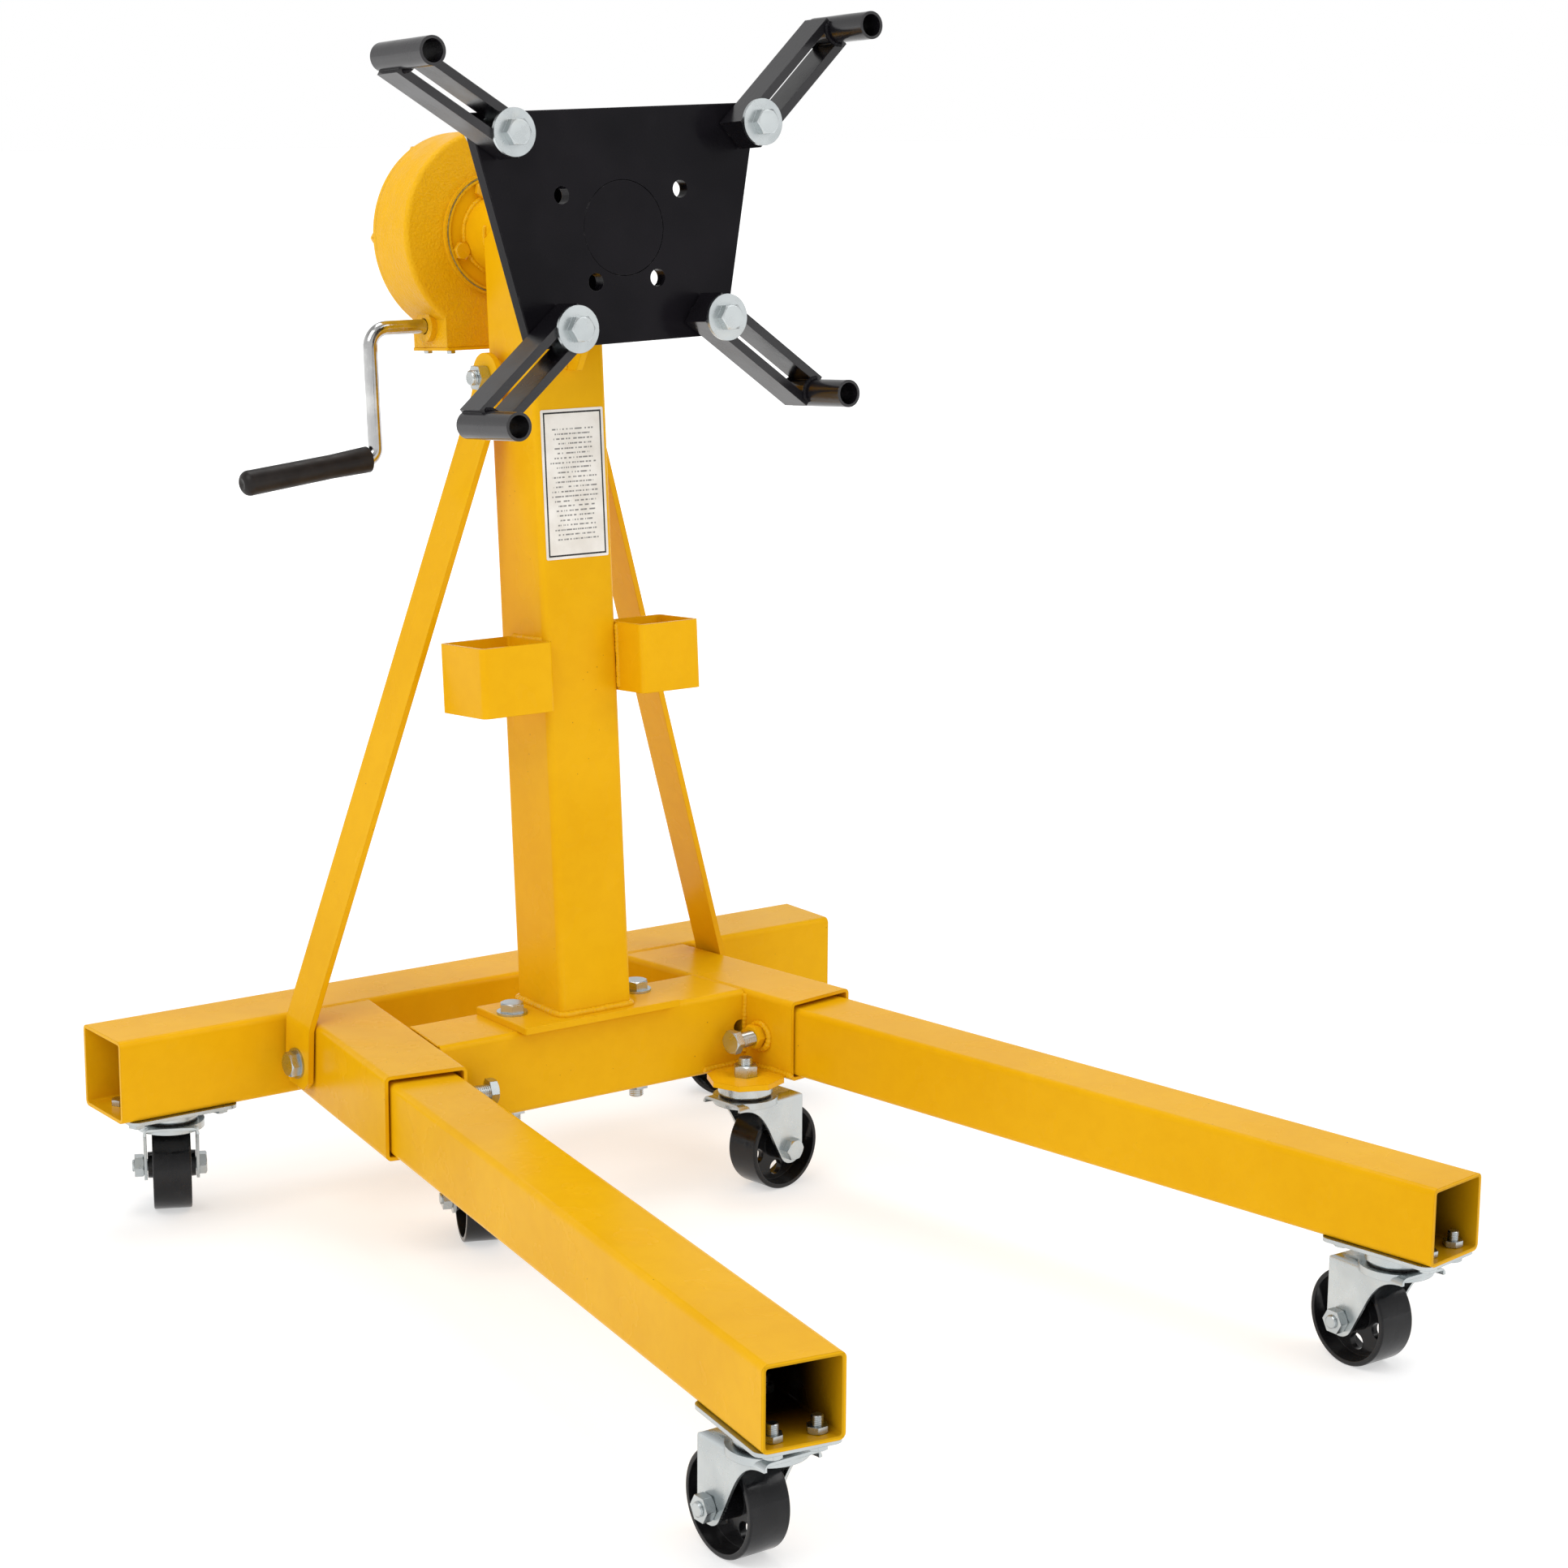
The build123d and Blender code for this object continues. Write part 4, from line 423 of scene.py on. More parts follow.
def crank_chrome():
    """Bright drawn bar with fine streaks along it."""
    surface = Surface("crank_chrome", metallic=1.0)
    cloud = surface.span(surface.noise(35, 4, 0.6), 0.35, 0.65)
    surface.drive("Base Color", surface.blend(cloud, rgb(0.44, 0.44, 0.44), rgb(0.62, 0.62, 0.61)))
    streaks = surface.noise(420, 3, 0.6, stretch=(1, 1, 0.08))
    surface.drive("Roughness", surface.span(streaks, 0.3, 0.7, 0.1, 0.24))
    surface.drive("Normal", surface.bump(streaks, 0.05, 0.5))
    return surface.material


def grip_rubber():
    """Satin black moulded grip."""
    surface = Surface("grip_rubber", specular_ior_level=0.22)
    cloud = surface.span(surface.noise(50, 3), 0.35, 0.65)
    surface.drive("Base Color", surface.blend(cloud, rgb(0.009, 0.007, 0.007), rgb(0.016, 0.013, 0.012)))
    surface.drive("Roughness", surface.span(surface.noise(90, 3), 0.3, 0.7, 0.36, 0.52))
    relief = surface.bump(surface.noise(1400, 3, 0.6), 0.06, 0.6, surface.round_edges(0.6))
    surface.drive("Normal", surface.bump(surface.noise(90, 2), 0.2, 0.3, relief))
    return surface.material


def black_wheel():
    """Glossy black enamel on cast wheels, duller and dustier on the tread."""
    surface = Surface("black_wheel", specular_ior_level=0.28)
    cloud = surface.span(surface.noise(60, 4, 0.6), 0.35, 0.65)
    colour = surface.blend(cloud, rgb(0.005, 0.005, 0.006), rgb(0.010, 0.010, 0.011))
    dust = surface.span(surface.along((0, 0, 1)), 0.02, 0.0, 0, 0.25)
    dust = surface.math("MULTIPLY", dust, surface.noise(200, 4))
    colour = surface.blend(dust, colour, rgb(0.08, 0.075, 0.07))
    surface.drive("Base Color", colour)
    surface.drive("Roughness", surface.span(surface.noise(80, 3), 0.3, 0.7, 0.1, 0.24))
    relief = surface.bump(surface.noise(240, 3, 0.5), 0.2, 0.5, surface.round_edges(1.0))
    surface.drive("Normal", relief)
    return surface.material


def bare_metal(name, dark, light, grain, rough):
    """Machined or cast metal with a fine grain."""
    surface = Surface(name, metallic=1.0)
    cloud = surface.span(surface.noise(60, 4, 0.6), 0.35, 0.65)
    surface.drive("Base Color", surface.blend(cloud, dark, light))
    surface.drive("Roughness", surface.span(surface.noise(200, 3), 0.3, 0.7, rough, rough + 0.18))
    surface.drive("Normal", surface.bump(surface.noise(grain, 3, 0.6), 0.12, 0.5, surface.round_edges(0.5)))
    return surface.material


def dark_seal():
    """Near-black colour of the painted shade ring in the gap between each caster's race cup and crown."""
    surface = Surface("dark_seal", specular_ior_level=0.35)
    cloud = surface.span(surface.noise(300, 4), 0.35, 0.65)
    surface.drive("Base Color", surface.blend(cloud, rgb(0.008, 0.008, 0.008), rgb(0.03, 0.029, 0.027)))
    surface.drive("Roughness", surface.span(surface.noise(400, 2), 0.3, 0.7, 0.4, 0.6))
    surface.drive("Normal", surface.bump(surface.noise(1200, 2), 0.1, 0.5))
    return surface.material


def joint_filler():
    """Grey-green sealant left in the groove round the flange."""
    surface = Surface("joint_filler", specular_ior_level=0.2)
    cloud = surface.span(surface.noise(260, 4, 0.6), 0.35, 0.65)
    surface.drive("Base Color", surface.blend(cloud, rgb(0.20, 0.17, 0.07), rgb(0.42, 0.34, 0.10)))
    surface.drive("Roughness", surface.span(surface.noise(500, 2), 0.3, 0.7, 0.55, 0.8))
    surface.drive("Normal", surface.bump(surface.noise(900, 3), 0.3, 0.7))
    return surface.material


LABEL_HALF = (30.0, 61.0)             # half width and half height
LABEL_BORDER = (2.2, 3.6)             # the printed frame's outer and inner edge, from the label's edge
LABEL_ROW = 3.9                       # line spacing of the print
LABEL_MARGIN = 7.5


def label_print():
    """Off-white label with a black frame and rows of plain dashes where print would be."""
    surface = Surface("label_print", specular_ior_level=0.3)
    low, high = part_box("mast_label")
    middle = (low + high) / 2
    across = surface.math("ABSOLUTE", surface.along(RIGHT, middle))
    height = surface.along(UP_MAST, middle)
    from_side = surface.math("SUBTRACT", LABEL_HALF[0] * MM, across)
    from_end = surface.math("SUBTRACT", LABEL_HALF[1] * MM, surface.math("ABSOLUTE", height))
    inset = surface.math("MINIMUM", from_side, from_end)
    outer = surface.math("GREATER_THAN", inset, LABEL_BORDER[0] * MM)
    inner = surface.math("LESS_THAN", inset, LABEL_BORDER[1] * MM)
    border = surface.math("MULTIPLY", outer, inner)
    rows = surface.math("DIVIDE", height, LABEL_ROW * MM)
    in_row = surface.math("FRACT", rows)
    above, below = surface.math("GREATER_THAN", in_row, 0.3), surface.math("LESS_THAN", in_row, 0.62)
    stroke = surface.math("MULTIPLY", above, below)
    row_number = surface.math("FLOOR", rows)
    letters = surface.node("ShaderNodeCombineXYZ")
    surface.feed(letters.inputs[0], surface.math("MULTIPLY", surface.along(RIGHT, middle), 620.0))
    surface.feed(letters.inputs[1], surface.math("MULTIPLY", row_number, 7.3))
    words = surface.node("ShaderNodeTexNoise")
    words.inputs["Scale"].default_value = 1.0
    words.inputs["Detail"].default_value = 1.0
    surface.feed(words.inputs["Vector"], letters.outputs[0])
    word = surface.math("GREATER_THAN", words.outputs["Fac"], 0.47)
    ends = surface.node("ShaderNodeTexWhiteNoise", noise_dimensions="1D")
    surface.feed(ends.inputs["W"], row_number)
    margin = LABEL_MARGIN * MM
    indent = surface.span(ends.outputs["Value"], 0, 1, margin, 2 * margin, smooth=False)
    printed = surface.math("MULTIPLY", surface.math("GREATER_THAN", from_side, indent), stroke)
    clear = surface.math("GREATER_THAN", from_end, 2 * margin)
    printed = surface.math("MULTIPLY", surface.math("MULTIPLY", printed, word), clear)
    cloud = surface.span(surface.noise(40, 4), 0.35, 0.65)
    paper = surface.blend(cloud, rgb(0.72, 0.68, 0.62), rgb(0.82, 0.79, 0.74))
    colour = surface.blend(surface.math("MULTIPLY", printed, 0.75), paper, rgb(0.06, 0.06, 0.06))
    surface.drive("Base Color", surface.blend(border, colour, rgb(0.012, 0.012, 0.012)))
    surface.drive("Roughness", surface.span(surface.noise(120, 3), 0.3, 0.7, 0.3, 0.45))
    surface.drive("Normal", surface.bump(surface.noise(60, 2), 0.15, 0.5))
    return surface.material


# A key that is a CAD node's own name is that node's finish.
MATERIALS = {
    "yellow_coat": yellow_coat(),
    # the crossbar and the legs get painted shade deep in their bores
    "rear_crossbar": yellow_coat("crossbar_coat_painted_shade", crossbar_shade_depth),
    "left_leg": yellow_coat("left_leg_coat_painted_shade", leg_shade_depth("left", -1)),
    "right_leg": yellow_coat("right_leg_coat_painted_shade", leg_shade_depth("right", 1)),
    "weld_paint": weld_paint(),
    "yellow_casting": yellow_casting(),
    "black_coat": black_coat("black_coat", 0.09),
    "arm_coat": black_coat("arm_coat", 0.6),
    "zinc": zinc(),
    "gearbox_screws": gearbox_screw_finish(),
    "spindle": spindle_finish(),
    "crank_chrome": crank_chrome(),
    "grip_rubber": grip_rubber(),
    "black_wheel": black_wheel(),
    "cast_iron": bare_metal("cast_iron", rgb(0.16, 0.16, 0.16), rgb(0.26, 0.26, 0.26), 500, 0.4),
    "machined_steel": bare_metal("machined_steel", rgb(0.4, 0.4, 0.41), rgb(0.56, 0.56, 0.56), 900, 0.2),
    "bronze": bare_metal("bronze", rgb(0.42, 0.24, 0.09), rgb(0.56, 0.34, 0.14), 700, 0.28),
    # near-black painted shade for the caster race gaps
    "dark_seal": dark_seal(),
    "joint_filler": joint_filler(),
    "label": label_print(),
}
NODE_MATERIALS = {
    "gearbox_housing": "yellow_casting",
    "gearbox_back_cover": "yellow_casting",
    "gearbox_bushes": "bronze",
    "worm_wheel": "cast_iron",
    "worm": "machined_steel",
    "head_plate": "black_coat",
    "mast_label": "label",
    "crank_rod": "crank_chrome",
    "crank_grip": "grip_rubber",
}


def material_name(node):
    """Key of the material that a CAD node shows."""
    if node in MATERIALS:
        return node
    if node in NODE_MATERIALS:
        return NODE_MATERIALS[node]
    if node.endswith("_arm"):
        return "arm_coat"
    if node.endswith("_wheel"):
        return "black_wheel"
    if node.endswith(("_bolt", "_bolts", "_fork", "_axle", "_plates", "_caster_plate", "_stems")):
        return "yellow_coat" if node == "corner_plates" else "zinc"
    return "yellow_coat"


for node_name, node_object in frame["nodes"].items():
    chosen = MATERIALS[material_name(node_name)]
    node_object.data.materials.clear()
    node_object.data.materials.append(chosen)


# ---------------------------------------------------------------- mesh helpers
def add_piece(name, verts, faces, body, material, smooth=True):
    """A new mesh from millimetre points that rides on a body."""
    mesh = bpy.data.meshes.new(name)
    mesh.from_pydata([Vector(v) * MM for v in verts], [], faces)
    mesh.polygons.foreach_set("use_smooth", [smooth] * len(mesh.polygons))
    mesh.materials.append(MATERIALS[material])
    made = bpy.data.objects.new(name, mesh)
    bpy.context.scene.collection.objects.link(made)
    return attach(made, body)


def resampled(points, step, closed):
    """Points evenly spaced by about step along a path."""
    corners = list(points) + ([points[0]] if closed else [])
    lengths = [(b - a).length for a, b in zip(corners, corners[1:])]
    total = sum(lengths)
    count = max(3, ceil(total / step))
    spots, segment, done = [], 0, 0.0
    for index in range(count if closed else count + 1):
        target = total * index / count
        while segment < len(lengths) - 1 and target > done + lengths[segment]:
            done += lengths[segment]
            segment += 1
        share = (target - done) / lengths[segment]
        spots.append(corners[segment].lerp(corners[segment + 1], min(1.0, share)))
    return spots


BEAD_SIDES = 8
BEAD_STEP = 0.3       # rings along a bead, in bead radii
BEAD_RIPPLE = 1.3     # ripple length, in bead radii


def bead_mesh(points, radius, closed=False):
    """Vertices and faces of a rippled weld bead along a path."""
    spots = resampled(points, radius * BEAD_STEP, closed)
    count = len(spots)
    verts, faces = [], []
    ahead = None
    for index, spot in enumerate(spots):
        before = spots[index - 1] if index or closed else spot
        after = spots[(index + 1) % count] if index < count - 1 or closed else spot
        tangent = (after - before).normalized()
        if ahead is None:
            ahead = tangent.orthogonal().normalized()
        ahead = (ahead - tangent * ahead.dot(tangent)).normalized()
        beside = tangent.cross(ahead)
        phase = (index * BEAD_STEP / BEAD_RIPPLE) % 1.0
        ripple = 0.8 + 0.2 * sqrt(sin(pi * phase))
        uneven = 1 + 0.16 * noise.noise(spot / (radius * 3))
        taper = 1.0 if closed else min(1.0, 0.55 + 0.25 * min(index, count - 1 - index))
        size = radius * ripple * uneven * taper
        shift = noise.noise_vector(spot / (radius * 2.5)) * radius * 0.12
        for side in range(BEAD_SIDES):
            angle = 2 * pi * side / BEAD_SIDES
            verts.append(spot + shift + (ahead * cos(angle) + beside * sin(angle)) * size)
    rings = count if closed else count - 1
    for ring in range(rings):
        for side in range(BEAD_SIDES):
            here, there = ring * BEAD_SIDES, (ring + 1) % count * BEAD_SIDES
            turn = (side + 1) % BEAD_SIDES
            faces.append((here + side, here + turn, there + turn, there + side))
    if not closed:
        faces.append(tuple(reversed(range(BEAD_SIDES))))
        faces.append(tuple((count - 1) * BEAD_SIDES + side for side in range(BEAD_SIDES)))
    return verts, faces


def joined(meshes):
    """Several vertex and face lists as one."""
    verts, faces = [], []
    for more_verts, more_faces in meshes:
        start = len(verts)
        verts += more_verts
        faces += [tuple(index + start for index in face) for face in more_faces]
    return verts, faces


def add_beads(name, paths, radius, body, material="weld_paint", closed=False):
    """One piece with a weld bead along each path."""
    verts, faces = joined(bead_mesh(path, radius, closed) for path in paths)
    piece = add_piece(name, verts, faces, body, material)
    return piece


def arc(place, radius, start=0.0, end=360.0, lift=0.0, count=36):
    """Points on an arc about a place's z axis, with angles in degrees."""
    whole = end - start >= 360
    steps = count if whole else count + 1
    angles = [radians(start + (end - start) * index / count) for index in range(steps)]
    return [place.at(radius * cos(angle), radius * sin(angle), lift) for angle in angles]


# ---------------------------------------------------------------- weld beads
def weld_mast():
    """Beads round the mast's foot, along the gusset, and where the spindle housing sits in the mast."""
    half, depth = TUBE / 2, TUBE / 2 / UP_MAST.z
    foot = MAST.at()
    ring = []
    for x, y in ((1, -1), (1, 1), (-1, 1), (-1, -1)):
        corner = foot + Vector((x * (half - TUBE_CORNER), y * (depth - TUBE_CORNER), 1.2))
        start = {(1, -1): -90, (1, 1): 0, (-1, 1): 90, (-1, -1): 180}[(x, y)]
        for turn in range(0, 91, 30):
            angle = radians(start + turn)
            ring.append(corner + Vector((cos(angle), sin(angle), 0)) * (TUBE_CORNER + 0.6))
    add_beads("mast_foot_weld", [ring], 3.4, "frame", closed=True)
    rims = [Place(SPINDLE.at(z=n), RIGHT, TO_FRONT) for n in (-half, half)]
    saddles = [arc(rim, HOUSING_R + 0.4, -192, 12) for rim in rims]
    add_beads("mast_saddle_welds", saddles, 2.6, "frame")
    gusset = []
    for side in (-3.2, 3.2):
        gusset.append([on_mast(side, half + 0.4, 532), on_mast(side, half + 0.4, 612)])
        under = SPINDLE_AT - HOUSING_R
        gusset.append([on_mast(side, half, under), on_mast(side, HOUSING_FRONT - 4, under)])
    add_beads("gusset_welds", gusset, 2.4, "frame")
    flange = arc(Place(SPINDLE.at(z=FLANGE_BACK), RIGHT, TO_FRONT), HOUSING_R + 0.6)
    add_beads("flange_weld", [flange], 2.4, "frame", closed=True)


def weld_pockets():
    """Beads between the tool pockets and the mast's sides."""
    half = TUBE / 2
    paths = []
    for side, back, base in POCKETS:
        x, top = side * (half + 0.5), base + POCKET_HEIGHT
        paths.append([on_mast(x, half, base + 2), on_mast(x, half, top - 1)])
        paths.append([on_mast(x, back, base + 2), on_mast(x, back, top - 2)])
        paths.append([on_mast(x, back + 6, top), on_mast(x, half - 4, top)])
    add_beads("pocket_welds", paths, 2.5, "frame")


def sleeve_wall_point(name, side, wall, distance, z):
    """Point where a sleeve's wall, -1 inner or 1 outer, is this far in front of the crossbar."""
    place = leg_place(name, side)
    foot = place.origin + place.x * (side * wall * TUBE / 2)
    along = (CROSSBAR_Y - distance - foot.y) / place.z.y
    point = foot + place.z * along
    return Vector((point.x, point.y, z))


def weld_base():
    """Beads between crossbar, sleeves, front beam and corner plates."""
    uprights, seams, corners = [], [], []
    for name, side in SIDES:
        for wall in (-1, 1):
            spots = [sleeve_wall_point(name, side, wall, 0.5, z) for z in (TUBE_LOW + 3, TUBE_HIGH - 4)]
            uprights.append(spots)
        seams.append([sleeve_wall_point(name, side, wall, 0, TUBE_HIGH - 0.7) for wall in (-0.9, 0.9)])
        ends = (BEAM_BACK + 4, BEAM_FRONT - 4)
        seams.append([sleeve_wall_point(name, side, -1, far, TUBE_HIGH - 0.7) for far in ends])
        front, back = BEAM_FRONT + 0.6, BEAM_BACK - 0.6
        uprights.append([sleeve_wall_point(name, side, -1, front, z) for z in (TUBE_LOW + 14, TUBE_HIGH - 3)])
        uprights.append([sleeve_wall_point(name, side, -1, back, z) for z in (TUBE_LOW + 3, TUBE_HIGH - 4)])
        low = TUBE_LOW + CORNER_PLATE + 0.4
        corner = sleeve_wall_point(name, side, -1, BEAM_FRONT, low)
        corners.append([corner + Vector((-side * along, -0.4, 0)) for along in (44, 6)])
        corners.append([sleeve_wall_point(name, side, -1, BEAM_FRONT + far, low) for far in (6, 58)])
    add_beads("base_upright_welds", uprights, 2.8, "frame")
    add_beads("base_top_seams", seams, 1.3, "frame")
    add_beads("corner_plate_welds", corners, 3.0, "frame")


def nut_place(name, side):
    """Clamp nut's face on the sleeve's inner wall, with z towards the middle."""
    low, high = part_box("clamp_nuts")
    place = leg_place(name, side)
    inward = place.x * -side
    wall = place.origin + inward * (TUBE / 2)
    bolt_low, bolt_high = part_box(f"{name}_clamp_bolt")
    middle = (bolt_low + bolt_high) / 2 / MM
    along = (middle - wall).dot(place.z)
    lift = Vector((0, 0, (low.z + high.z) / 2 / MM - wall.z))
    return Place(wall + place.z * along + lift, place.z, inward)


def weld_nuts():
    """Beads round the clamp nuts and round the bosses of the brace bolts."""
    nuts = [arc(nut_place(name, side), 11.4, lift=0.8) for name, side in SIDES]
    add_beads("nut_welds", nuts, 2.9, "frame", closed=True)
    bosses = []
    for _, side in SIDES:
        boss = Place(on_mast(side * (TUBE / 2), *BRACE_HEAD[1:]), (0, 1, 0), (side, 0, 0))
        bosses.append(arc(boss, 12.4, lift=0.4))
    add_beads("brace_boss_welds", bosses, 1.9, "frame", closed=True)


def weld_head():
    """Black beads round the spindle behind the head plate and between each arm's bars and its finger."""
    ring = arc(Place(HEAD.at(z=PLATE_BACK - 0.6), HEAD.x, TO_FRONT), PLATE_WELD_R)
    add_beads("head_plate_weld", [ring], 2.6, "head", "black_coat", closed=True)
    for name in ARM_NAMES:
        inward = joint_axis(f"{name}_slide")
        pivot = joint_at(f"{name}_pivot")
        level = pivot.dot(TO_FRONT) - HEAD.origin.dot(TO_FRONT)
        centre = pivot - inward * ARM_REACH
        paths = []
        for plane, lift in ((ARM_BACK, -0.2), (ARM_FRONT, 0.2)):
            finger = Place(centre + TO_FRONT * (plane + lift - level), inward, TO_FRONT)
            paths.append(arc(finger, FINGER_R + 0.8, -62, 62, count=14))
        add_beads(f"{name}_finger_weld", paths, 2.2, f"{name}_arm", "black_coat")


# ---------------------------------------------------------------- threads, painted race-gap shade and flange filler
THREAD_SIDES = 24
THREAD_PROUD = 0.3


def thread_mesh(start, direction, length, radius, pitch):
    """Helical ridge round a shank, from start along direction."""
    place = Place(start, Vector(direction).orthogonal(), direction)
    steps = int(length / pitch * THREAD_SIDES)
    root, crest = radius - 0.05, radius + THREAD_PROUD
    verts, faces = [], []
    for step in range(steps + 1):
        angle = 2 * pi * step / THREAD_SIDES
        height = length * step / steps
        for offset, size in ((-pitch / 2, root), (0, crest), (pitch / 2, root)):
            level = min(length, max(0.0, height + offset))
            verts.append(place.at(size * cos(angle), size * sin(angle), level))
    for step in range(steps):
        for row in (0, 1):
            here = step * 3 + row
            faces.append((here, here + 3, here + 4, here + 1))
    return verts, faces


def add_threads(name, runs, body):
    """One piece with a thread for each run of start, direction, length, shank radius and pitch."""
    verts, faces = joined(thread_mesh(*run) for run in runs)
    return add_piece(name, verts, faces, body, "zinc", smooth=False)


def thread_frame():
    """Threads of the mast bolts, the long brace bolt and the inner casters' stems."""
    runs = []
    foot_y = MAST.origin.y
    for _, side in SIDES:
        foot = Vector((side * MAST_BOLT_X, foot_y, TUBE_LOW - NUT_12))
        runs.append((foot, (0, 0, -1), 7.4, M12, PITCH_12))
    brace_end = on_mast(-(BRACE_HEAD[0] + 5 + NUT_12), BRACE_HEAD[1], BRACE_HEAD[2])
    runs.append((brace_end, (-1, 0, 0), 4.4, M12, PITCH_12))
    for name, _ in SIDES:
        pivot = joint_at(f"inner_{name}_swivel")
        stem = Vector((pivot.x, pivot.y, TUBE_LOW + CORNER_PLATE + NUT_12))
        runs.append((stem, (0, 0, 1), 5.4, M12, PITCH_12))
    add_threads("frame_threads", runs, "frame")


def thread_clamps():
    """Threads of the leg clamp screws, on the stretch that never goes into the nut."""
    for name, side in SIDES:
        place = nut_place(name, side)
        low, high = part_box(f"{name}_clamp_bolt")
        reach = ((low + high) / 2 / MM - place.origin).dot(place.z)
        start = reach + (CLAMP_SCREW - CLAMP_HEAD) / 2 - 0.2
        travel = -JOINTS[f"{name}_clamp_screw"]["range_m"][0] / MM
        run = (place.at(z=start), -place.z, start - NUT_12 - travel - 0.3, M12, PITCH_12)
        add_threads(f"{name}_clamp_thread", [run], f"{name}_clamp")


def thread_arms():
    """Thread ends of the arm bolts behind the head plate."""
    for name in ARM_NAMES:
        pivot = joint_at(f"{name}_pivot")
        level = (pivot - HEAD.origin).dot(TO_FRONT)
        start = pivot + TO_FRONT * (PLATE_BACK - 0.2 - NUT_12 - level)
        add_threads(f"{name}_bolt_thread", [(start, -TO_FRONT, 4.4, M12, PITCH_12)], f"{name}_pivot")


def thread_casters():
    """Thread ends of the caster bolts and axles."""
    for name, side in SIDES:
        place = leg_place(name, side)
        pivot = joint_at(f"front_{name}_swivel")
        grid = Place((pivot.x, pivot.y, 0), place.z, (0, 0, 1))
        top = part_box(f"{name}_leg")[0].z / MM + WALL + NUT_8
        half_x, half_y = CASTER_BOLTS[0] / 2, CASTER_BOLTS[1] / 2
        spots = [grid.at(x, y, top) for x in (-half_x, half_x) for y in (-half_y, half_y)]
        runs = [(spot, (0, 0, 1), 6.4, M8, PITCH_8) for spot in spots]
        add_threads(f"{name}_leg_caster_threads", runs, f"{name}_leg")
    for name in CASTER_NAMES:
        centre = joint_at(f"{name}_wheel_spin")
        pivot = joint_at(f"{name}_swivel")
        heading = Vector((centre.x - pivot.x, centre.y - pivot.y, 0))
        across = Vector((0, 0, 1)).cross(heading).normalized()
        start = centre + across * (FORK_HALF + NUT_10)
        add_threads(f"{name}_axle_thread", [(start, across, 1.6, M10, PITCH_10)], f"{name}_swivel")


def ring_mesh(place, radius, thickness, sides=40, section=8):
    """Torus about a place's z axis."""
    verts, faces = [], []
    for turn in range(sides):
        angle = 2 * pi * turn / sides
        for step in range(section):
            bend = 2 * pi * step / section
            reach = radius + thickness * cos(bend)
            verts.append(place.at(reach * cos(angle), reach * sin(angle), thickness * sin(bend)))
    for turn in range(sides):
        for step in range(section):
            here, there = turn * section, (turn + 1) % sides * section
            across = (step + 1) % section
            faces.append((here + step, there + step, there + across, here + across))
    return verts, faces


def add_race_gap_shades_and_filler():
    """Black ring of painted shade in the gap between each caster's race cup and crown, and the filler in the
    groove round the flange.
    """
    for name in CASTER_NAMES:
        pivot = joint_at(f"{name}_swivel")
        place = Place((pivot.x, pivot.y, pivot.z + RACE_GAP_SHADE_LIFT), (1, 0, 0), (0, 0, 1))
        # painted shade: a black ring fills the race gap where only shadow falls
        add_piece(f"{name}_seal", *ring_mesh(place, RACE_GAP_SHADE_R, 0.95), f"{name}_swivel", "dark_seal")
    groove = Place(SPINDLE.at(z=GROOVE_AT), RIGHT, TO_FRONT)
    add_piece("flange_filler", *ring_mesh(groove, GROOVE_R, 0.55, sides=96), "frame", "joint_filler")


weld_mast()
weld_pockets()
weld_base()
weld_nuts()
weld_head()
thread_frame()
thread_clamps()
thread_arms()
thread_casters()
add_race_gap_shades_and_filler()


# ---------------------------------------------------------------- floor, light and camera
FLOOR_HALF = 30.0                     # metres


def make_floor():
    """Wide pale floor that glows more with distance, so that it ends in white."""
    corners = [(x * FLOOR_HALF, y * FLOOR_HALF, 0) for x, y in ((-1, -1), (1, -1), (1, 1), (-1, 1))]
    mesh = bpy.data.meshes.new("floor")
    mesh.from_pydata(corners, [], [(0, 1, 2, 3)])
    floor = bpy.data.objects.new("floor", mesh)
    bpy.context.scene.collection.objects.link(floor)
    surface = Surface("pale_floor", specular_ior_level=0.1, roughness=0.8)
    surface.shader.inputs["Emission Color"].default_value = rgb(1, 1, 1)
    cloud = surface.span(surface.noise(0.8, 2), 0.3, 0.7)
    surface.drive("Base Color", surface.blend(cloud, rgb(0.58, 0.58, 0.58), rgb(0.62, 0.62, 0.62)))
    distance = surface.node("ShaderNodeVectorMath", operation="LENGTH")
    surface.feed(distance.inputs[0], surface.position)
    surface.drive("Emission Strength", surface.span(distance.outputs["Value"], 0.6, 3.5, 0.52, 1.0))
    mesh.materials.append(surface.material)


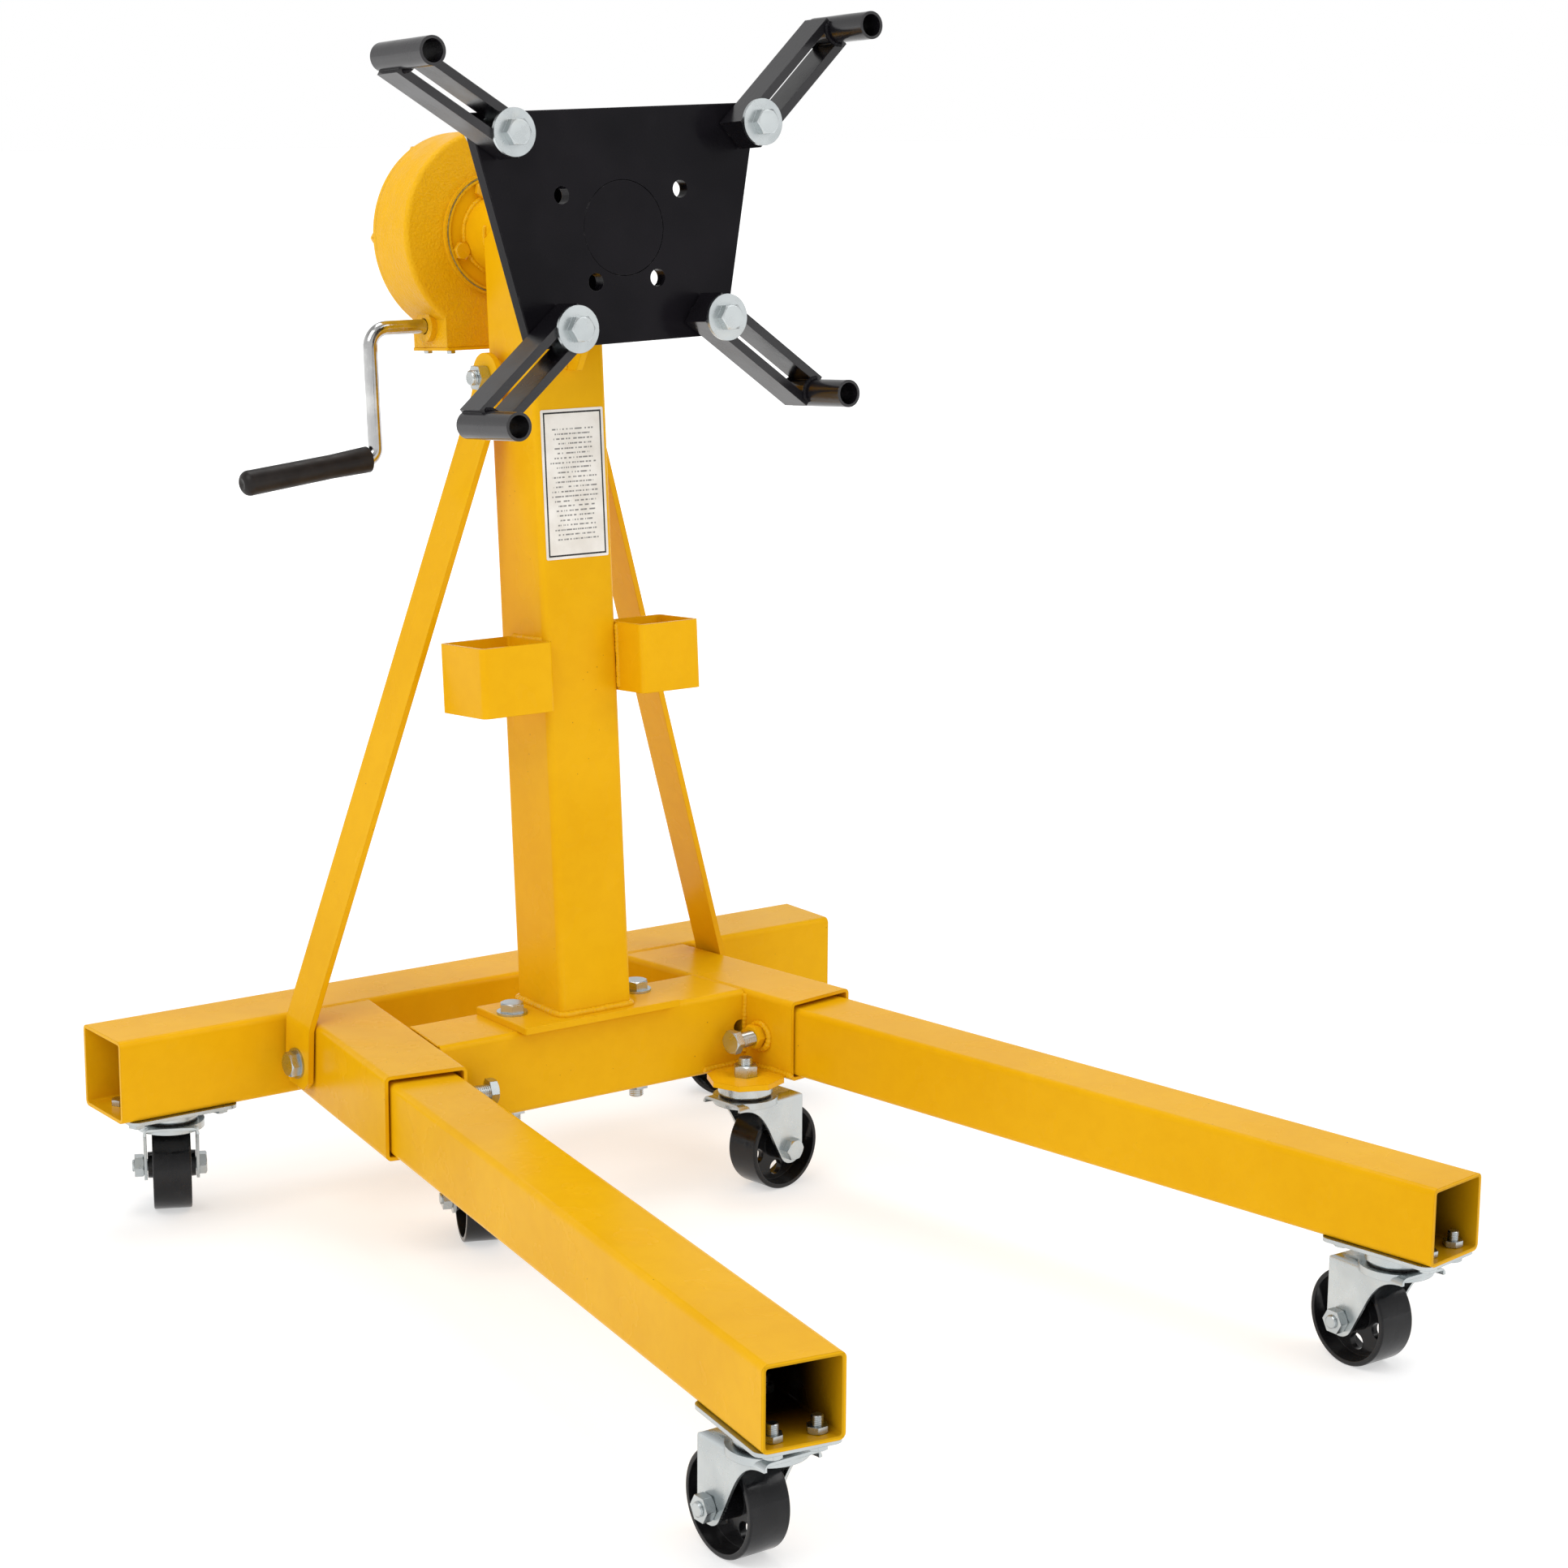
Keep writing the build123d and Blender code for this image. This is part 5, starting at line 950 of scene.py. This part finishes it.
def make_world():
    """Pale surround that is white at the horizon and darker overhead."""
    world = bpy.data.worlds.new("studio")
    world.use_nodes = True
    nodes, links = world.node_tree.nodes, world.node_tree.links
    background = nodes["Background"]
    direction = nodes.new("ShaderNodeTexCoord")
    height = nodes.new("ShaderNodeSeparateXYZ")
    ramp = nodes.new("ShaderNodeMapRange")
    links.new(direction.outputs["Generated"], height.inputs[0])
    links.new(height.outputs["Z"], ramp.inputs["Value"])
    for name, number in (("From Min", 0.12), ("From Max", 0.7), ("To Min", 1.0), ("To Max", 0.45)):
        ramp.inputs[name].default_value = number
    background.inputs["Color"].default_value = rgb(1, 1, 1)
    links.new(ramp.outputs["Result"], background.inputs["Strength"])
    bpy.context.scene.world = world


def make_softbox(name, azimuth, elevation, distance, size, power):
    """Square area light aimed at the middle of the stand."""
    target = (cad_box[0] + cad_box[1]) / 2
    a, e = radians(azimuth), radians(elevation)
    away = Vector((sin(a) * cos(e), -cos(a) * cos(e), sin(e)))
    light = bpy.data.lights.new(name, "AREA")
    light.shape = "SQUARE"
    light.size = size
    light.energy = power
    lamp = bpy.data.objects.new(name, light)
    lamp.location = target + away * distance
    lamp.rotation_mode = "QUATERNION"
    lamp.rotation_quaternion = (-away).to_track_quat("-Z", "Y")
    bpy.context.scene.collection.objects.link(lamp)


CAMERA_AT = Vector((-1.4701, -2.0534, 0.956))
CAMERA_AZIMUTH, CAMERA_ELEVATION, CAMERA_ROLL = -36.17, 12.2, 0.42
CAMERA_LENS = 76.9


def make_camera():
    """Camera at the photograph's viewing angle."""
    a, e = radians(CAMERA_AZIMUTH), radians(CAMERA_ELEVATION)
    back = Vector((sin(a) * cos(e), -cos(a) * cos(e), sin(e)))
    data = bpy.data.cameras.new("camera")
    data.lens, data.sensor_width = CAMERA_LENS, 36.0
    data.clip_start, data.clip_end = 0.05, 100.0
    camera = bpy.data.objects.new("camera", data)
    camera.location = CAMERA_AT
    camera.rotation_mode = "QUATERNION"
    level = (-back).to_track_quat("-Z", "Y")
    camera.rotation_quaternion = Quaternion(back, radians(CAMERA_ROLL)) @ level
    bpy.context.scene.collection.objects.link(camera)
    bpy.context.scene.camera = camera


make_floor()
make_world()
make_softbox("key_light", -75, 48, 3.2, 2.0, 40)
make_softbox("fill_light", 40, 40, 3.4, 2.0, 27)
make_softbox("top_light", 160, 70, 3.0, 1.6, 32)
make_camera()
bpy.context.scene.view_settings.view_transform = "Standard"
